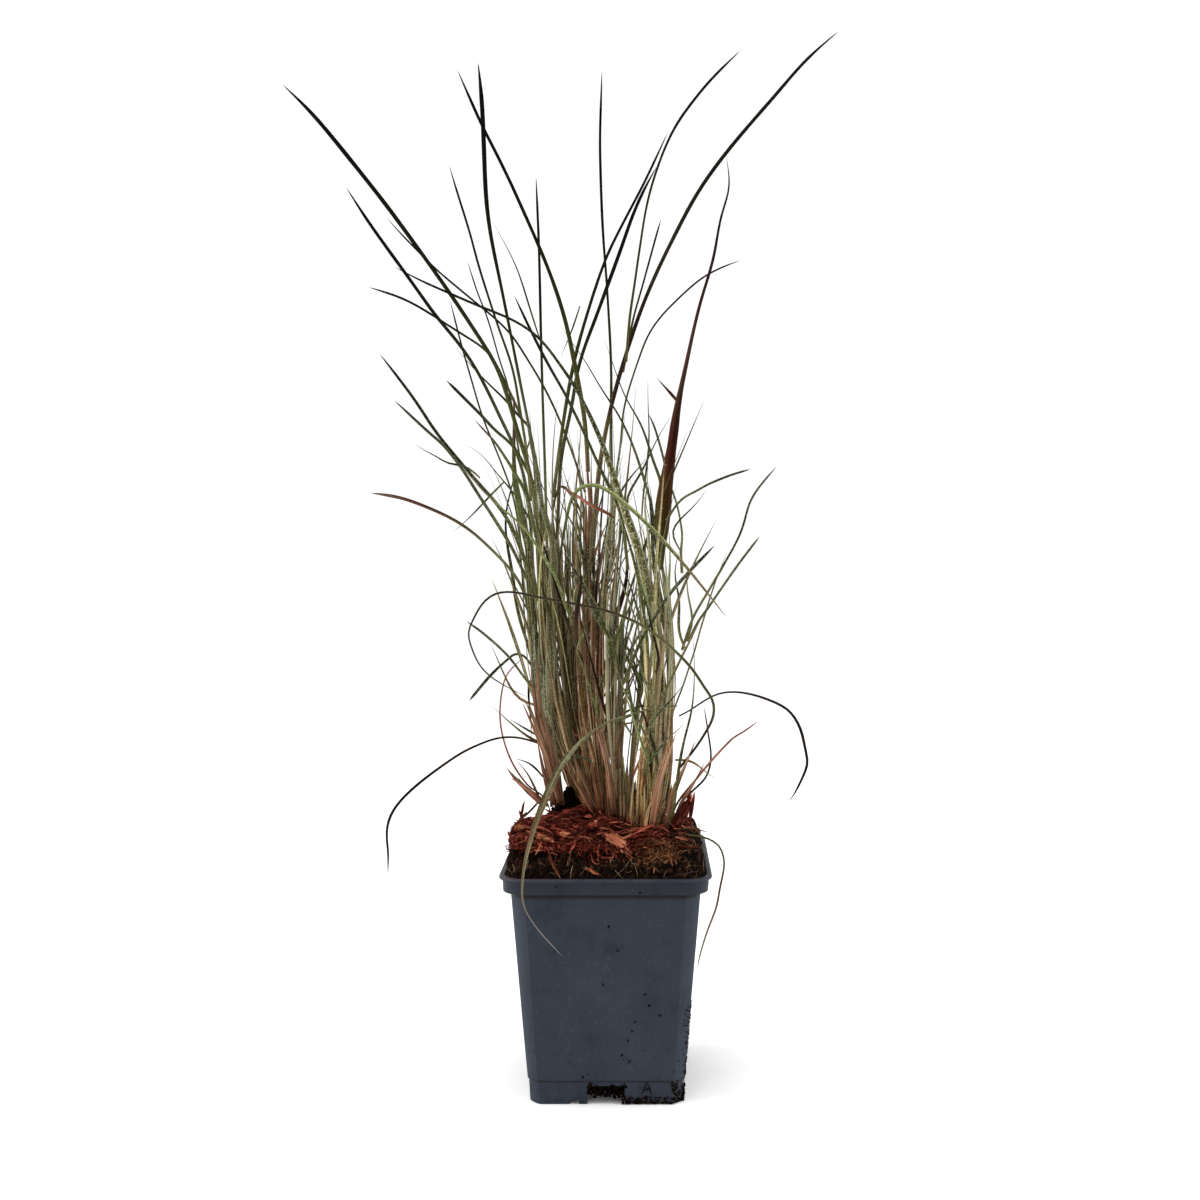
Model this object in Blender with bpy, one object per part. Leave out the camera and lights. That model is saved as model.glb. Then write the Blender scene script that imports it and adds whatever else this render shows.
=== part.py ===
"""Potted little bluestem: a clump of ornamental grass in a square nursery pot.

Metres, +Z up, the front towards -Y. The origin is the centre of the pot's foot, on the ground.
Run with: blender --background --python part.py
"""

import math
import random
from dataclasses import dataclass, field

import bmesh
import bpy
import numpy as np
from mathutils import Matrix, Vector
from mathutils.bvhtree import BVHTree

MM = 0.001

# Pot, outer sizes
POT_HEIGHT = 100.0 * MM
LIP_WIDTH = 90.0 * MM
LIP_THICKNESS = 1.3 * MM
BAND_WIDTH = 87.4 * MM
BAND_HEIGHT = 6.9 * MM
BODY_TOP_WIDTH = 80.6 * MM
BODY_FOOT_WIDTH = 67.6 * MM
SKIRT_WIDTH = 65.6 * MM
SKIRT_TAPER = 0.5 * MM
STEP_HEIGHT = 10.0 * MM
STEP_SLOPE = 0.6 * MM
WALL = 1.0 * MM
FLOOR_THICKNESS = 1.2 * MM
FOOT_RING_WIDTH = 1.5 * MM
FOOT_RING_DRAFT = 0.2 * MM
SHOULDER_RISE = 1.2 * MM
LIP_EDGE = 0.4 * MM
BAND_TAPER = 0.3 * MM
RIM_CORNER = 10.0 * MM
BODY_CORNER_TOP = 6.4 * MM
BODY_CORNER_FOOT = 4.4 * MM
BODY_ROUNDNESS = 0.35
CORNER_POINTS = 5

# Openings in the pot's foot and floor
NOTCH_WIDTH = 16.0 * MM
NOTCH_HEIGHT = 8.0 * MM
SMALL_NOTCH_WIDTH = 4.0 * MM
SMALL_NOTCH_HEIGHT = 1.8 * MM
SMALL_NOTCH_OFFSET = -13.6 * MM
NOTCH_CUTTER_DEPTH = 6.0 * MM
DRAIN_RADIUS = 4.0 * MM
DRAIN_SPACING = 38.0 * MM
DRAIN_SIDES = 10

# Root ball, which stands proud of the rim and has slid away at its two back corners
GAP = 0.3 * MM
SOIL_CLEARANCE = 0.9 * MM
SOIL_PROUD = 14.0 * MM
SOIL_SHOULDER = 1.5 * MM
SOIL_REACH = 43.1 * MM
SOIL_EDGE_POWER = 16
SOIL_LUMP = 0.7 * MM
LUMP_LENGTH = 16.0 * MM
FINE_LUMP_LENGTH = 7.6 * MM
LEFT_DIP = 8.0 * MM
RIGHT_DIP = 5.0 * MM
DIP_ACROSS = (12.0 * MM, 34.0 * MM)
LEFT_DIP_BACK = (-6.0 * MM, 16.0 * MM)
RIGHT_DIP_BACK = (-12.0 * MM, 12.0 * MM)
SOIL_RINGS = 6
SOIL_RING_POWER = 1.8
SOIL_EDGE_POINTS = 9

# Blades and stems
BLADE_SEGMENTS = 14
SHORT_BLADE_SEGMENTS = 6
KEEL_SHARE = 0.34
LEAST_KEEL = 0.5 * MM
STEM_SIDES = 6
STEM_RINGS = 8

# Bark chips
CHIP_CORNERS = 14
CHIP_EVENNESS = 0.86

# The viewpoint that the blade routes are read from, in the part's own frame
EYE = Vector((16.8 * MM, -578.4 * MM, 240.3 * MM))
EYE_PITCH = math.radians(2.58)
EYE_FOCAL_PIXELS = 1300.0
EYE_CENTRE_PIXEL = (645.4, 600.0)

COLLECTION = "potted_little_bluestem"
SEED = 11


@dataclass
class Blade:
    """One leaf blade: its route in picture pixels from foot to tip, with widths and depths in mm.

    The widths and the depths are spread evenly along the blade. A depth is the distance behind the
    middle of the pot, so a negative one is nearer to the viewer. The twist is in degrees.
    """

    route: list
    depths: tuple
    widths: tuple = (1.9, 2.4, 2.3, 1.8, 1.1)
    twist: float = 0.0
    colour: str = "green"
    grounded: bool = False
    segments: int = BLADE_SEGMENTS


@dataclass
class Stem:
    """One tiller of overlapping leaf sheaths, from the soil up, with its fused short blades."""

    route: list
    depths: tuple
    widths: tuple = (4.6, 5.0, 4.2, 3.4)
    flatness: float = 0.72
    colour: str = "straw"
    blades: list = field(default_factory=list)


@dataclass
class Chip:
    """One bark chip: the picture pixel of the soil under it, size in mm, turn and tilt in degrees."""

    pixel: tuple
    size: tuple
    turn: float
    tilt: float


STEMS = {
    "stem_01": Stem(
        route=[(579, 809), (566, 771), (546, 728), (537, 689), (531, 648), (528, 600), (524, 556)],
        depths=(33, 35, 37),
        blades=[
            Blade(
                route=[(556, 748), (536, 741), (513, 725), (490, 704)],
                depths=(34, 29, 23),
                widths=(1.6, 1.5, 1.0),
            ),
            Blade(
                route=[(540, 706), (522, 700), (503, 672), (490, 642)],
                depths=(34.5, 36, 37),
                widths=(1.4, 1.2, 0.9),
            ),
        ],
    ),
    "stem_02": Stem(
        route=[(585, 812), (571, 767), (555, 728), (547, 689), (542, 648), (538, 600), (535, 548), (531, 503)],
        depths=(26, 28, 30),
    ),
    "stem_03": Stem(
        route=[(589, 815), (577, 767), (566, 735), (557, 696), (551, 648), (547, 600), (544, 543)],
        depths=(19, 19, 19),
    ),
    "stem_04": Stem(
        route=[(596, 808), (584, 762), (574, 730), (568, 696), (563, 648), (559, 600), (555, 545), (553, 500)],
        depths=(31, 34, 36),
        colour="olive",
    ),
    "stem_05": Stem(
        route=[(599, 816), (592, 767), (586, 735), (585, 696), (586, 648), (587, 600), (587, 540), (588, 474)],
        depths=(18, 16, 14),
        colour="red_straw",
    ),
    "stem_06": Stem(
        route=[(609, 822), (605, 767), (601, 743), (599, 696), (600, 648), (604, 600), (609, 560)],
        depths=(8, 5, 2),
        colour="red_straw",
    ),
    "stem_07": Stem(
        route=[(615, 828), (617, 775), (618, 743), (618, 696), (619, 653), (623, 615), (628, 572)],
        depths=(-3, -6, -9),
        colour="pale",
    ),
    "stem_08": Stem(
        route=[(628, 829), (630, 775), (633, 737), (638, 690), (641, 640), (641, 592)],
        depths=(-1, 2, 4),
        widths=(3.6, 3.8, 3.4, 2.8),
        colour="pale",
    ),
    "stem_09": Stem(
        route=[(637, 834), (641, 791), (645, 751), (649, 712), (651, 680), (652, 640), (651, 604)],
        depths=(-17, -20, -22),
    ),
    "stem_10": Stem(
        route=[(648, 836), (655, 799), (660, 759), (663, 720), (666, 680), (667, 640), (664, 600), (661, 572)],
        depths=(-22, -15, -12),
        colour="pale",
    ),
    "stem_11": Stem(
        route=[(658, 832), (667, 799), (675, 760), (680, 722), (684, 685), (686, 650), (685, 612), (682, 575)],
        depths=(-14, -7, -3),
        blades=[
            Blade(
                route=[(675, 760), (692, 762), (706, 772), (718, 780)],
                depths=(-9, -13, -17),
                widths=(1.5, 1.4, 1.0),
            ),
        ],
    ),
    "stem_12": Stem(
        route=[(545, 806), (534, 796), (520, 783), (506, 767)],
        depths=(26, 27, 28),
        widths=(3.0, 2.6, 1.8, 1.0),
        colour="red_straw",
        blades=[
            Blade(
                route=[(541, 802), (533, 784), (524, 769), (512, 757)],
                depths=(26, 23, 20),
                widths=(1.4, 1.3, 0.9),
            ),
            Blade(
                route=[(539, 801), (527, 814), (513, 826), (504, 838)],
                depths=(26, 19, 13),
                widths=(1.4, 1.3, 0.9),
            ),
        ],
    ),
}

BLADES = {
    "leaf_01": Blade(
        route=[(541, 560), (537, 520), (528, 462), (515, 428), (505, 386), (489, 354), (469, 322), (437, 275),
               (386, 205), (344, 152), (316, 118), (282, 84)],
        depths=(14, 2, -22, -56, -100),
        widths=(2.2, 3.0, 2.6, 2.2, 1.4),
        twist=10,
    ),
    "leaf_02": Blade(
        route=[(533, 575), (531, 530), (525, 482), (514, 446), (500, 417), (481, 378), (462, 348), (437, 317),
               (403, 270), (370, 224), (346, 187)],
        depths=(25, 23, 20, 17, 14),
        widths=(2.0, 2.6, 2.5, 2.2, 1.3),
        twist=-15,
    ),
    "leaf_03": Blade(
        route=[(585, 492), (571, 449), (550, 399), (526, 357), (504, 327), (464, 293), (437, 270), (406, 239),
               (386, 217)],
        depths=(17.8, 38, 54, 66, 74),
        widths=(1.6, 1.8, 1.7, 1.4, 0.9),
        twist=20,
    ),
    "leaf_04": Blade(
        route=[(588, 472), (585, 424), (577, 376), (564, 316), (547, 266), (530, 226), (505, 171), (481, 123),
               (457, 69)],
        depths=(14, 2, -12, -30, -48),
        widths=(2.6, 3.2, 2.4, 1.7, 1.1),
        twist=-8,
    ),
    "leaf_05": Blade(
        route=[(544, 541), (542, 499), (533, 447), (523, 397), (513, 346), (500, 281), (492, 243), (486, 196),
               (484, 150), (482, 105), (478, 62)],
        depths=(19, 22, 30, 40, 52),
        widths=(2.0, 2.2, 2.3, 2.8, 2.0),
        twist=12,
    ),
    "leaf_06": Blade(
        route=[(531, 501), (527, 455), (520, 410), (512, 367), (496, 320), (480, 270), (469, 230), (459, 198),
               (449, 165)],
        depths=(30, 38, 48, 58, 66),
        widths=(2.0, 2.2, 2.0, 1.7, 1.1),
        twist=-20,
    ),
    "leaf_07": Blade(
        route=[(528, 508), (517, 440), (509, 391), (499, 358), (488, 320), (477, 291), (467, 260)],
        depths=(33.4, 46, 58, 68, 78),
        widths=(1.5, 1.7, 1.5, 1.2, 0.8),
        twist=25,
    ),
    "leaf_08": Blade(
        route=[(609, 558), (612, 500), (611, 440), (611, 364), (607, 288), (603, 233), (601, 187), (600, 142),
               (601, 109), (600, 84), (602, 69)],
        depths=(2, 4, 6, 8, 8),
        widths=(2.6, 2.2, 1.7, 1.5, 0.9),
        twist=5,
    ),
    "leaf_09": Blade(
        route=[(626, 362), (630, 316), (634, 288), (641, 240), (648, 200), (660, 161), (677, 124), (708, 83),
               (741, 50)],
        depths=(0.3, -10, -24, -40, -58),
        widths=(1.8, 1.6, 1.5, 1.4, 0.9),
        twist=-10,
    ),
    "leaf_10": Blade(
        route=[(553, 498), (558, 460), (566, 405), (575, 358), (589, 308), (605, 261), (621, 227), (644, 183),
               (668, 132)],
        depths=(35.5, 27, 18, 9, 0),
        widths=(2.2, 2.8, 2.4, 1.6, 1.0),
        twist=15,
    ),
    "leaf_11": Blade(
        route=[(557, 540), (561, 462), (571, 410), (580, 362), (599, 309), (617, 260), (637, 205), (657, 166)],
        depths=(31.4, 22, 10, -3, -16),
        widths=(2.2, 2.6, 2.5, 2.1, 1.2),
        twist=-12,
    ),
    "leaf_12": Blade(
        route=[(589, 563), (594, 520), (599, 470), (606, 430), (616, 388), (629, 345), (643, 305), (664, 257),
               (697, 194), (730, 148), (778, 92), (799, 67), (839, 31)],
        depths=(9, -8, 8, 38, 70, 100),
        widths=(2.2, 2.9, 2.8, 2.8, 2.2, 1.2),
        twist=8,
        colour="dark_red",
    ),
    "leaf_13": Blade(
        route=[(661, 570), (662, 528), (664, 500), (671, 452), (678, 404), (686, 365), (702, 297), (714, 255),
               (722, 214), (729, 187), (727, 161)],
        depths=(-12, -15, -20, -27, -36),
        widths=(3.4, 5.2, 2.7, 2.6, 1.8),
        twist=6,
        colour="dark_red",
    ),
    "leaf_14": Blade(
        route=[(623, 372), (628, 345), (634, 316), (643, 284), (654, 244), (661, 219)],
        depths=(3.8, 12, 21, 30),
        widths=(1.8, 1.7, 1.4, 0.9),
        twist=-18,
    ),
    "leaf_15": Blade(
        route=[(612, 496), (620, 449), (624, 409), (635, 370), (650, 332), (669, 308), (691, 287), (712, 272),
               (741, 260)],
        depths=(5.8, 14, 26, 38, 50),
        widths=(1.6, 1.5, 1.4, 1.2, 0.8),
        twist=14,
    ),
    "leaf_16": Blade(
        route=[(521, 416), (498, 368), (484, 349), (454, 329), (419, 307), (396, 296), (368, 287)],
        depths=(41, 45, 50, 54, 58),
        widths=(1.8, 1.9, 1.7, 1.5, 0.9),
        twist=-10,
    ),
    "leaf_17": Blade(
        route=[(650, 602), (641, 558), (630, 526), (618, 491), (603, 446), (580, 396), (555, 358), (527, 328),
               (486, 309), (442, 290), (407, 274), (393, 266)],
        depths=(-23, -31, -38, -44, -50, -56),
        widths=(4.0, 3.6, 2.4, 1.8, 1.6, 1.0),
        twist=5,
        colour="pale",
    ),
    "leaf_18": Blade(
        route=[(543, 612), (525, 561), (513, 530), (497, 504), (480, 485), (457, 458), (436, 432), (414, 399),
               (393, 371), (379, 353)],
        depths=(15.8, 9, 2, -6, -14),
        widths=(2.2, 2.9, 2.4, 1.8, 1.1),
        twist=12,
    ),
    "leaf_19": Blade(
        route=[(528, 582), (512, 548), (495, 520), (480, 497), (462, 469), (444, 446), (424, 428), (394, 400)],
        depths=(33.5, 24, 13, 2, -10),
        widths=(2.0, 2.6, 2.3, 1.7, 1.0),
        twist=-14,
    ),
    "leaf_20": Blade(
        route=[(534, 484), (515, 449), (495, 430), (481, 415), (468, 402), (446, 380)],
        depths=(10.4, 8, 4, -2),
        widths=(2.0, 2.2, 2.0, 1.2),
        twist=10,
    ),
    "leaf_21": Blade(
        route=[(531, 625), (524, 593), (509, 568), (478, 537), (454, 520), (424, 506), (397, 497), (370, 493)],
        depths=(32.6, 21, 10, 0, -8),
        widths=(2.0, 2.2, 2.1, 1.9, 1.3),
        twist=-8,
    ),
    "leaf_22": Blade(
        route=[(678, 770), (696, 747), (709, 726), (715, 708), (710, 697), (695, 673), (675, 651), (643, 626),
               (607, 611), (575, 604), (542, 598), (510, 592), (488, 598), (473, 620), (469, 638), (481, 667),
               (502, 684), (531, 699)],
        depths=(-13, -30, -42, -46, -44, -40, -36),
        widths=(1.7, 1.9, 2.0, 1.9, 1.7, 1.4, 1.0),
        twist=0,
        colour="purple",
        segments=30,
    ),
    "leaf_23": Blade(
        route=[(556, 752), (543, 745), (520, 738), (499, 738), (478, 745), (455, 757), (417, 785), (395, 808),
               (387, 829), (388, 852), (388, 878)],
        depths=(28, 18, 10, 4, 0),
        widths=(1.8, 2.0, 2.2, 2.3, 1.4),
        twist=0,
        colour="purple",
        segments=20,
    ),
    "leaf_24": Blade(
        route=[(679, 716), (687, 712), (713, 696), (732, 692), (754, 695), (776, 703), (790, 712), (800, 728),
               (805, 748), (807, 765), (797, 789), (788, 803)],
        depths=(-11, -18, -24, -28, -30),
        widths=(1.4, 1.7, 2.2, 2.4, 1.5),
        twist=0,
        colour="purple",
        segments=20,
    ),
    "leaf_25": Blade(
        route=[(682, 650), (693, 618), (709, 590), (723, 566), (740, 534), (751, 500), (765, 480), (777, 466)],
        depths=(0, 8, 16, 24, 32),
        widths=(1.7, 1.9, 1.8, 1.5, 0.9),
        twist=16,
    ),
    "leaf_26": Blade(
        route=[(688, 642), (698, 622), (708, 608), (721, 589), (740, 562), (760, 536)],
        depths=(-9, -15, -22, -30),
        widths=(1.8, 1.8, 1.7, 1.0),
        twist=-16,
    ),
    "leaf_27": Blade(
        route=[(664, 524), (680, 501), (698, 490), (711, 483), (731, 475), (751, 469)],
        depths=(-15.2, -24, -33, -42),
        widths=(1.6, 1.6, 1.4, 0.8),
        twist=6,
    ),
    "leaf_28": Blade(
        route=[(557, 576), (567, 516), (577, 490), (590, 485), (607, 490), (638, 515), (669, 547), (701, 585),
               (727, 618)],
        depths=(31, -10, -52, -56, -60),
        widths=(1.6, 2.2, 2.5, 2.1, 1.0),
        twist=4,
        colour="light_green",
    ),
    "leaf_29": Blade(
        route=[(667, 827), (678, 802), (693, 783), (712, 760), (732, 739), (743, 732), (760, 720)],
        depths=(-6, -14, -24, -34),
        widths=(1.8, 1.9, 1.9, 1.0),
        twist=10,
        colour="brick",
        grounded=True,
    ),
    "leaf_30": Blade(
        route=[(673, 824), (684, 800), (698, 786), (707, 775), (711, 757), (708, 732), (704, 706)],
        depths=(2, 6, 10, 14),
        widths=(1.7, 1.8, 1.6, 0.9),
        twist=-12,
        colour="purple",
        grounded=True,
    ),
    "leaf_31": Blade(
        route=[(548, 702), (528, 682), (508, 656), (484, 634), (466, 621)],
        depths=(23.8, 18, 12, 8),
        widths=(1.6, 1.8, 1.6, 0.9),
        twist=8,
    ),
    "leaf_32": Blade(
        route=[(533, 668), (525, 657), (516, 654), (507, 660), (490, 676), (469, 701)],
        depths=(32.4, 26, 18, 8),
        widths=(1.4, 1.8, 1.9, 1.1),
        twist=0,
    ),
    "leaf_33": Blade(
        route=[(552, 800), (531, 788), (514, 766), (504, 741), (500, 717), (502, 691), (508, 673), (524, 657)],
        depths=(36, 39, 42, 44),
        widths=(1.4, 1.5, 1.4, 0.9),
        twist=6,
        colour="brick",
        grounded=True,
    ),
    "leaf_34": Blade(
        route=[(677, 706), (654, 708), (629, 715), (608, 722), (590, 733), (571, 752), (557, 773), (539, 814),
               (530, 842), (524, 868), (522, 893), (526, 911), (540, 932), (563, 957)],
        depths=(-20, -34, -44, -51, -49),
        widths=(2.4, 3.2, 4.2, 3.4, 1.1),
        twist=0,
        colour="green",
        segments=26,
    ),
    "leaf_35": Blade(
        route=[(623, 684), (640, 643), (653, 620), (669, 595), (687, 574), (715, 545)],
        depths=(-9.8, -27, -34, -40),
        widths=(2.0, 2.4, 2.0, 1.1),
        twist=10,
    ),
    "leaf_36": Blade(
        route=[(678, 834), (690, 835), (706, 838), (718, 845), (723, 855), (724, 867), (720, 888), (716, 908),
               (707, 932), (700, 955), (697, 972)],
        depths=(-29, -30, -31, -33, -35),
        widths=(1.2, 1.3, 1.4, 1.3, 0.9),
        twist=0,
        colour="brick",
        grounded=True,
        segments=20,
    ),
    "leaf_37": Blade(
        route=[(547, 549), (545, 470), (543, 409), (541, 336), (539, 250), (536, 176)],
        depths=(15.6, 12, 15, 20, 26),
        widths=(1.7, 2.0, 1.9, 1.5, 0.9),
        twist=-6,
    ),
    "leaf_38": Blade(
        route=[(628, 570), (622, 520), (612, 493), (599, 466), (586, 437), (566, 396), (548, 364), (531, 331),
               (514, 295)],
        depths=(-9, -14, -10, -4, 4),
        widths=(2.0, 2.4, 2.1, 1.7, 1.0),
        twist=10,
    ),
    "leaf_39": Blade(
        route=[(523, 560), (515, 505), (502, 465), (483, 418), (470, 375), (462, 347), (455, 320), (450, 300)],
        depths=(39.8, 45, 48, 52, 56),
        widths=(1.5, 1.5, 1.4, 1.2, 0.8),
        twist=15,
    ),
    "leaf_40": Blade(
        route=[(536, 538), (527, 497), (513, 470), (503, 454), (494, 441), (482, 428), (474, 419)],
        depths=(22.2, 15, 9, 4),
        widths=(2.2, 2.8, 2.2, 1.1),
        twist=-10,
        colour="light_green",
    ),
    "leaf_41": Blade(
        route=[(682, 573), (681, 552), (682, 533), (677, 505), (669, 481), (661, 449), (654, 426), (648, 413)],
        depths=(-3, 0, 4, 8, 12),
        widths=(1.8, 1.6, 1.5, 1.3, 0.8),
        twist=8,
    ),
}

SIDE_LEAF = Blade(
    route=[(679, 403), (672, 395), (664, 386), (656, 377)], depths=(-18, -21, -24), widths=(1.6, 2.0, 1.2)
)

CHIPS = {
    "bark_chip_01": Chip(pixel=(522, 838), size=(9.5, 5.5, 3.0), turn=-35, tilt=14),
    "bark_chip_02": Chip(pixel=(545, 844), size=(10.0, 4.5, 2.2), turn=-24, tilt=8),
    "bark_chip_03": Chip(pixel=(569, 840), size=(6.0, 5.5, 2.6), turn=30, tilt=10),
    "bark_chip_04": Chip(pixel=(683, 834), size=(16.0, 7.5, 4.0), turn=15, tilt=-58),
    "bark_chip_05": Chip(pixel=(619, 846), size=(10.5, 7.0, 2.6), turn=-40, tilt=12),
}

COLOURS = {
    "green": ((0.075, 0.094, 0.040), 0.55),
    "light_green": ((0.150, 0.180, 0.062), 0.55),
    "pale": ((0.300, 0.290, 0.170), 0.60),
    "olive": ((0.170, 0.150, 0.070), 0.60),
    "straw": ((0.330, 0.245, 0.135), 0.62),
    "red_straw": ((0.260, 0.150, 0.085), 0.62),
    "brick": ((0.200, 0.062, 0.034), 0.58),
    "dark_red": ((0.060, 0.018, 0.014), 0.50),
    "purple": ((0.030, 0.018, 0.020), 0.50),
    "pot": ((0.034, 0.040, 0.048), 0.48),
    "peat": ((0.016, 0.011, 0.008), 0.95),
    "bark": ((0.190, 0.050, 0.022), 0.85),
}


def clear_scene():
    """Remove every object that is in the scene."""
    for item in list(bpy.data.objects):
        bpy.data.objects.remove(item, do_unlink=True)


def new_collection(name):
    """Make a collection under the scene's own and return it."""
    collection = bpy.data.collections.new(name)
    bpy.context.scene.collection.children.link(collection)
    return collection


def new_material(name):
    """Make one Principled BSDF material from the colour table."""
    colour, roughness = COLOURS[name]
    material = bpy.data.materials.new(name)
    material.use_nodes = True
    shader = material.node_tree.nodes["Principled BSDF"]
    shader.inputs["Base Color"].default_value = (*colour, 1.0)
    shader.inputs["Roughness"].default_value = roughness
    shader.inputs["Metallic"].default_value = 0.0
    return material


def add_object(name, mesh_builder, material, collection, smooth=False):
    """Turn a bmesh into a named object with outward faces, its material and its collection."""
    bmesh.ops.recalc_face_normals(mesh_builder, faces=mesh_builder.faces[:])
    mesh = bpy.data.meshes.new(name)
    mesh_builder.to_mesh(mesh)
    mesh_builder.free()
    mesh.materials.append(material)
    if smooth:
        mesh.shade_smooth()
        mesh.set_sharp_from_angle(angle=math.radians(40))
    item = bpy.data.objects.new(name, mesh)
    collection.objects.link(item)
    return item


def as_guide(item):
    """Show a cutter or a piece to be joined only as a wire guide."""
    item.hide_render = True
    item.display_type = "WIRE"


def add_boolean(item, other, operation):
    """Add one exact Boolean modifier that cuts or joins with another object."""
    modifier = item.modifiers.new(f"{operation.lower()}_{other.name}", "BOOLEAN")
    modifier.operation = operation
    modifier.solver = "EXACT"
    modifier.object = other


def join_rings(mesh_builder, rings, cap_start=True, cap_end=True):
    """Skin a list of closed rings of points, all with the same count, into one closed surface."""
    made = [[mesh_builder.verts.new(point) for point in ring] for ring in rings]
    for lower, upper in zip(made, made[1:]):
        for i, vertex in enumerate(lower):
            j = (i + 1) % len(lower)
            mesh_builder.faces.new((vertex, lower[j], upper[j], upper[i]))
    if cap_start:
        mesh_builder.faces.new(made[0][::-1])
    if cap_end:
        mesh_builder.faces.new(made[-1])
    return made


def rounded_square(half, corner, height, roundness=1.0, edge_points=0):
    """Points of a square with cut corners, anticlockwise.

    A roundness of 1 gives round corners and 0 straight chamfers. Edge points are added evenly
    along each side between its corners.
    """
    points = []
    centre = half - corner
    for quarter in range(4):
        start = quarter * math.pi / 2
        first = Vector((math.cos(start), math.sin(start)))
        last = Vector((math.cos(start + math.pi / 2), math.sin(start + math.pi / 2)))
        middle = (first + last) * centre
        for k in range(CORNER_POINTS):
            share = k / (CORNER_POINTS - 1)
            angle = start + share * math.pi / 2
            arc = Vector((math.cos(angle), math.sin(angle)))
            chord = first.lerp(last, share)
            spot = middle + chord.lerp(arc, roundness) * corner
            points.append(Vector((spot.x, spot.y, height)))
        edge_start = middle + last * corner
        for k in range(edge_points):
            share = (k + 1) / (edge_points + 1)
            spot = edge_start.lerp(edge_start - first * 2 * centre, share)
            points.append(Vector((spot.x, spot.y, height)))
    return points


def body_half(height):
    """Half the outer width of the tapering body at a height above the step."""
    share = (height - STEP_HEIGHT) / (POT_HEIGHT - BAND_HEIGHT - STEP_HEIGHT)
    return (BODY_FOOT_WIDTH + (BODY_TOP_WIDTH - BODY_FOOT_WIDTH) * share) / 2


def body_corner(height):
    """Size of the body's cut corner at a height."""
    share = height / (POT_HEIGHT - BAND_HEIGHT)
    return BODY_CORNER_FOOT + (BODY_CORNER_TOP - BODY_CORNER_FOOT) * share


def pot_profile():
    """Half widths, corners, heights and corner roundness, from the floor out, over the lip and down."""
    band_base = POT_HEIGHT - BAND_HEIGHT
    lip_base = POT_HEIGHT - LIP_THICKNESS
    floor_top = STEP_HEIGHT + STEP_SLOPE
    floor_corner = body_corner(floor_top) - WALL / 2
    shoulder_corner = body_corner(band_base) - WALL / 2
    inner_rim = BAND_WIDTH / 2 - WALL
    lip = LIP_WIDTH / 2
    skirt = SKIRT_WIDTH / 2
    step_corner = body_corner(STEP_HEIGHT)
    soft = BODY_ROUNDNESS
    return [
        (body_half(floor_top) - WALL, floor_corner, floor_top, soft),
        (body_half(band_base) - WALL, shoulder_corner, band_base - WALL, soft),
        (inner_rim, RIM_CORNER - WALL, band_base + SHOULDER_RISE, 1.0),
        (inner_rim, RIM_CORNER - WALL, POT_HEIGHT, 1.0),
        (lip - LIP_EDGE, RIM_CORNER - LIP_EDGE, POT_HEIGHT, 1.0),
        (lip, RIM_CORNER, POT_HEIGHT - LIP_EDGE, 1.0),
        (lip, RIM_CORNER, lip_base, 1.0),
        (BAND_WIDTH / 2, RIM_CORNER - 2 * LIP_EDGE, lip_base, 1.0),
        (BAND_WIDTH / 2 - BAND_TAPER, RIM_CORNER - 3 * LIP_EDGE, band_base, 1.0),
        (body_half(band_base), body_corner(band_base), band_base, soft),
        (body_half(STEP_HEIGHT), step_corner, STEP_HEIGHT, soft),
        (skirt + SKIRT_TAPER, step_corner, STEP_HEIGHT - STEP_SLOPE, soft),
        (skirt, BODY_CORNER_FOOT, 0.0, soft),
        (skirt - FOOT_RING_WIDTH, BODY_CORNER_FOOT - FOOT_RING_WIDTH / 2, 0.0, soft),
        (skirt - FOOT_RING_WIDTH + FOOT_RING_DRAFT, step_corner - WALL / 2, floor_top - FLOOR_THICKNESS, soft),
    ]


def add_cutter(name, mesh_builder, collection):
    """Add an object that only cuts others."""
    cutter = add_object(name, mesh_builder, new_cutter_material(), collection)
    as_guide(cutter)
    return cutter


def new_cutter_material():
    """Reuse one plain material for every guide."""
    return bpy.data.materials.get("guide") or bpy.data.materials.new("guide")


def build_pot(collection, cutters):
    """The moulded pot: lip, band, tapering body with cut corners, step, notched foot and floor."""
    builder = bmesh.new()
    rings = [rounded_square(half, corner, height, soft) for half, corner, height, soft in pot_profile()]
    join_rings(builder, rings)
    pot = add_object("pot", builder, new_material("pot"), collection)
    wall_centre = (SKIRT_WIDTH - FOOT_RING_WIDTH) / 2
    for side in range(4):
        turn = Matrix.Rotation(side * math.pi / 2, 4, "Z")
        cuts = bmesh.new()
        sizes = [(0.0, NOTCH_WIDTH, NOTCH_HEIGHT), (SMALL_NOTCH_OFFSET, SMALL_NOTCH_WIDTH, SMALL_NOTCH_HEIGHT)]
        for offset, width, height in sizes:
            shift = Matrix.Translation((offset, -wall_centre, (height - MM) / 2))
            scale = Matrix.Diagonal((width, NOTCH_CUTTER_DEPTH, height + MM, 1.0))
            bmesh.ops.create_cube(cuts, size=1.0, matrix=turn @ shift @ scale)
        add_boolean(pot, add_cutter(f"notch_cutter_{side}", cuts, cutters), "DIFFERENCE")
    drains = bmesh.new()
    reach = DRAIN_SPACING / 2
    for x, y in ((0, 0), (-reach, -reach), (reach, -reach), (reach, reach), (-reach, reach)):
        bmesh.ops.create_cone(
            drains,
            cap_ends=True,
            segments=DRAIN_SIDES,
            radius1=DRAIN_RADIUS,
            radius2=DRAIN_RADIUS,
            depth=NOTCH_CUTTER_DEPTH,
            matrix=Matrix.Translation((x, y, STEP_HEIGHT)),
        )
    add_boolean(pot, add_cutter("drain_cutter", drains, cutters), "DIFFERENCE")
    return pot


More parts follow.
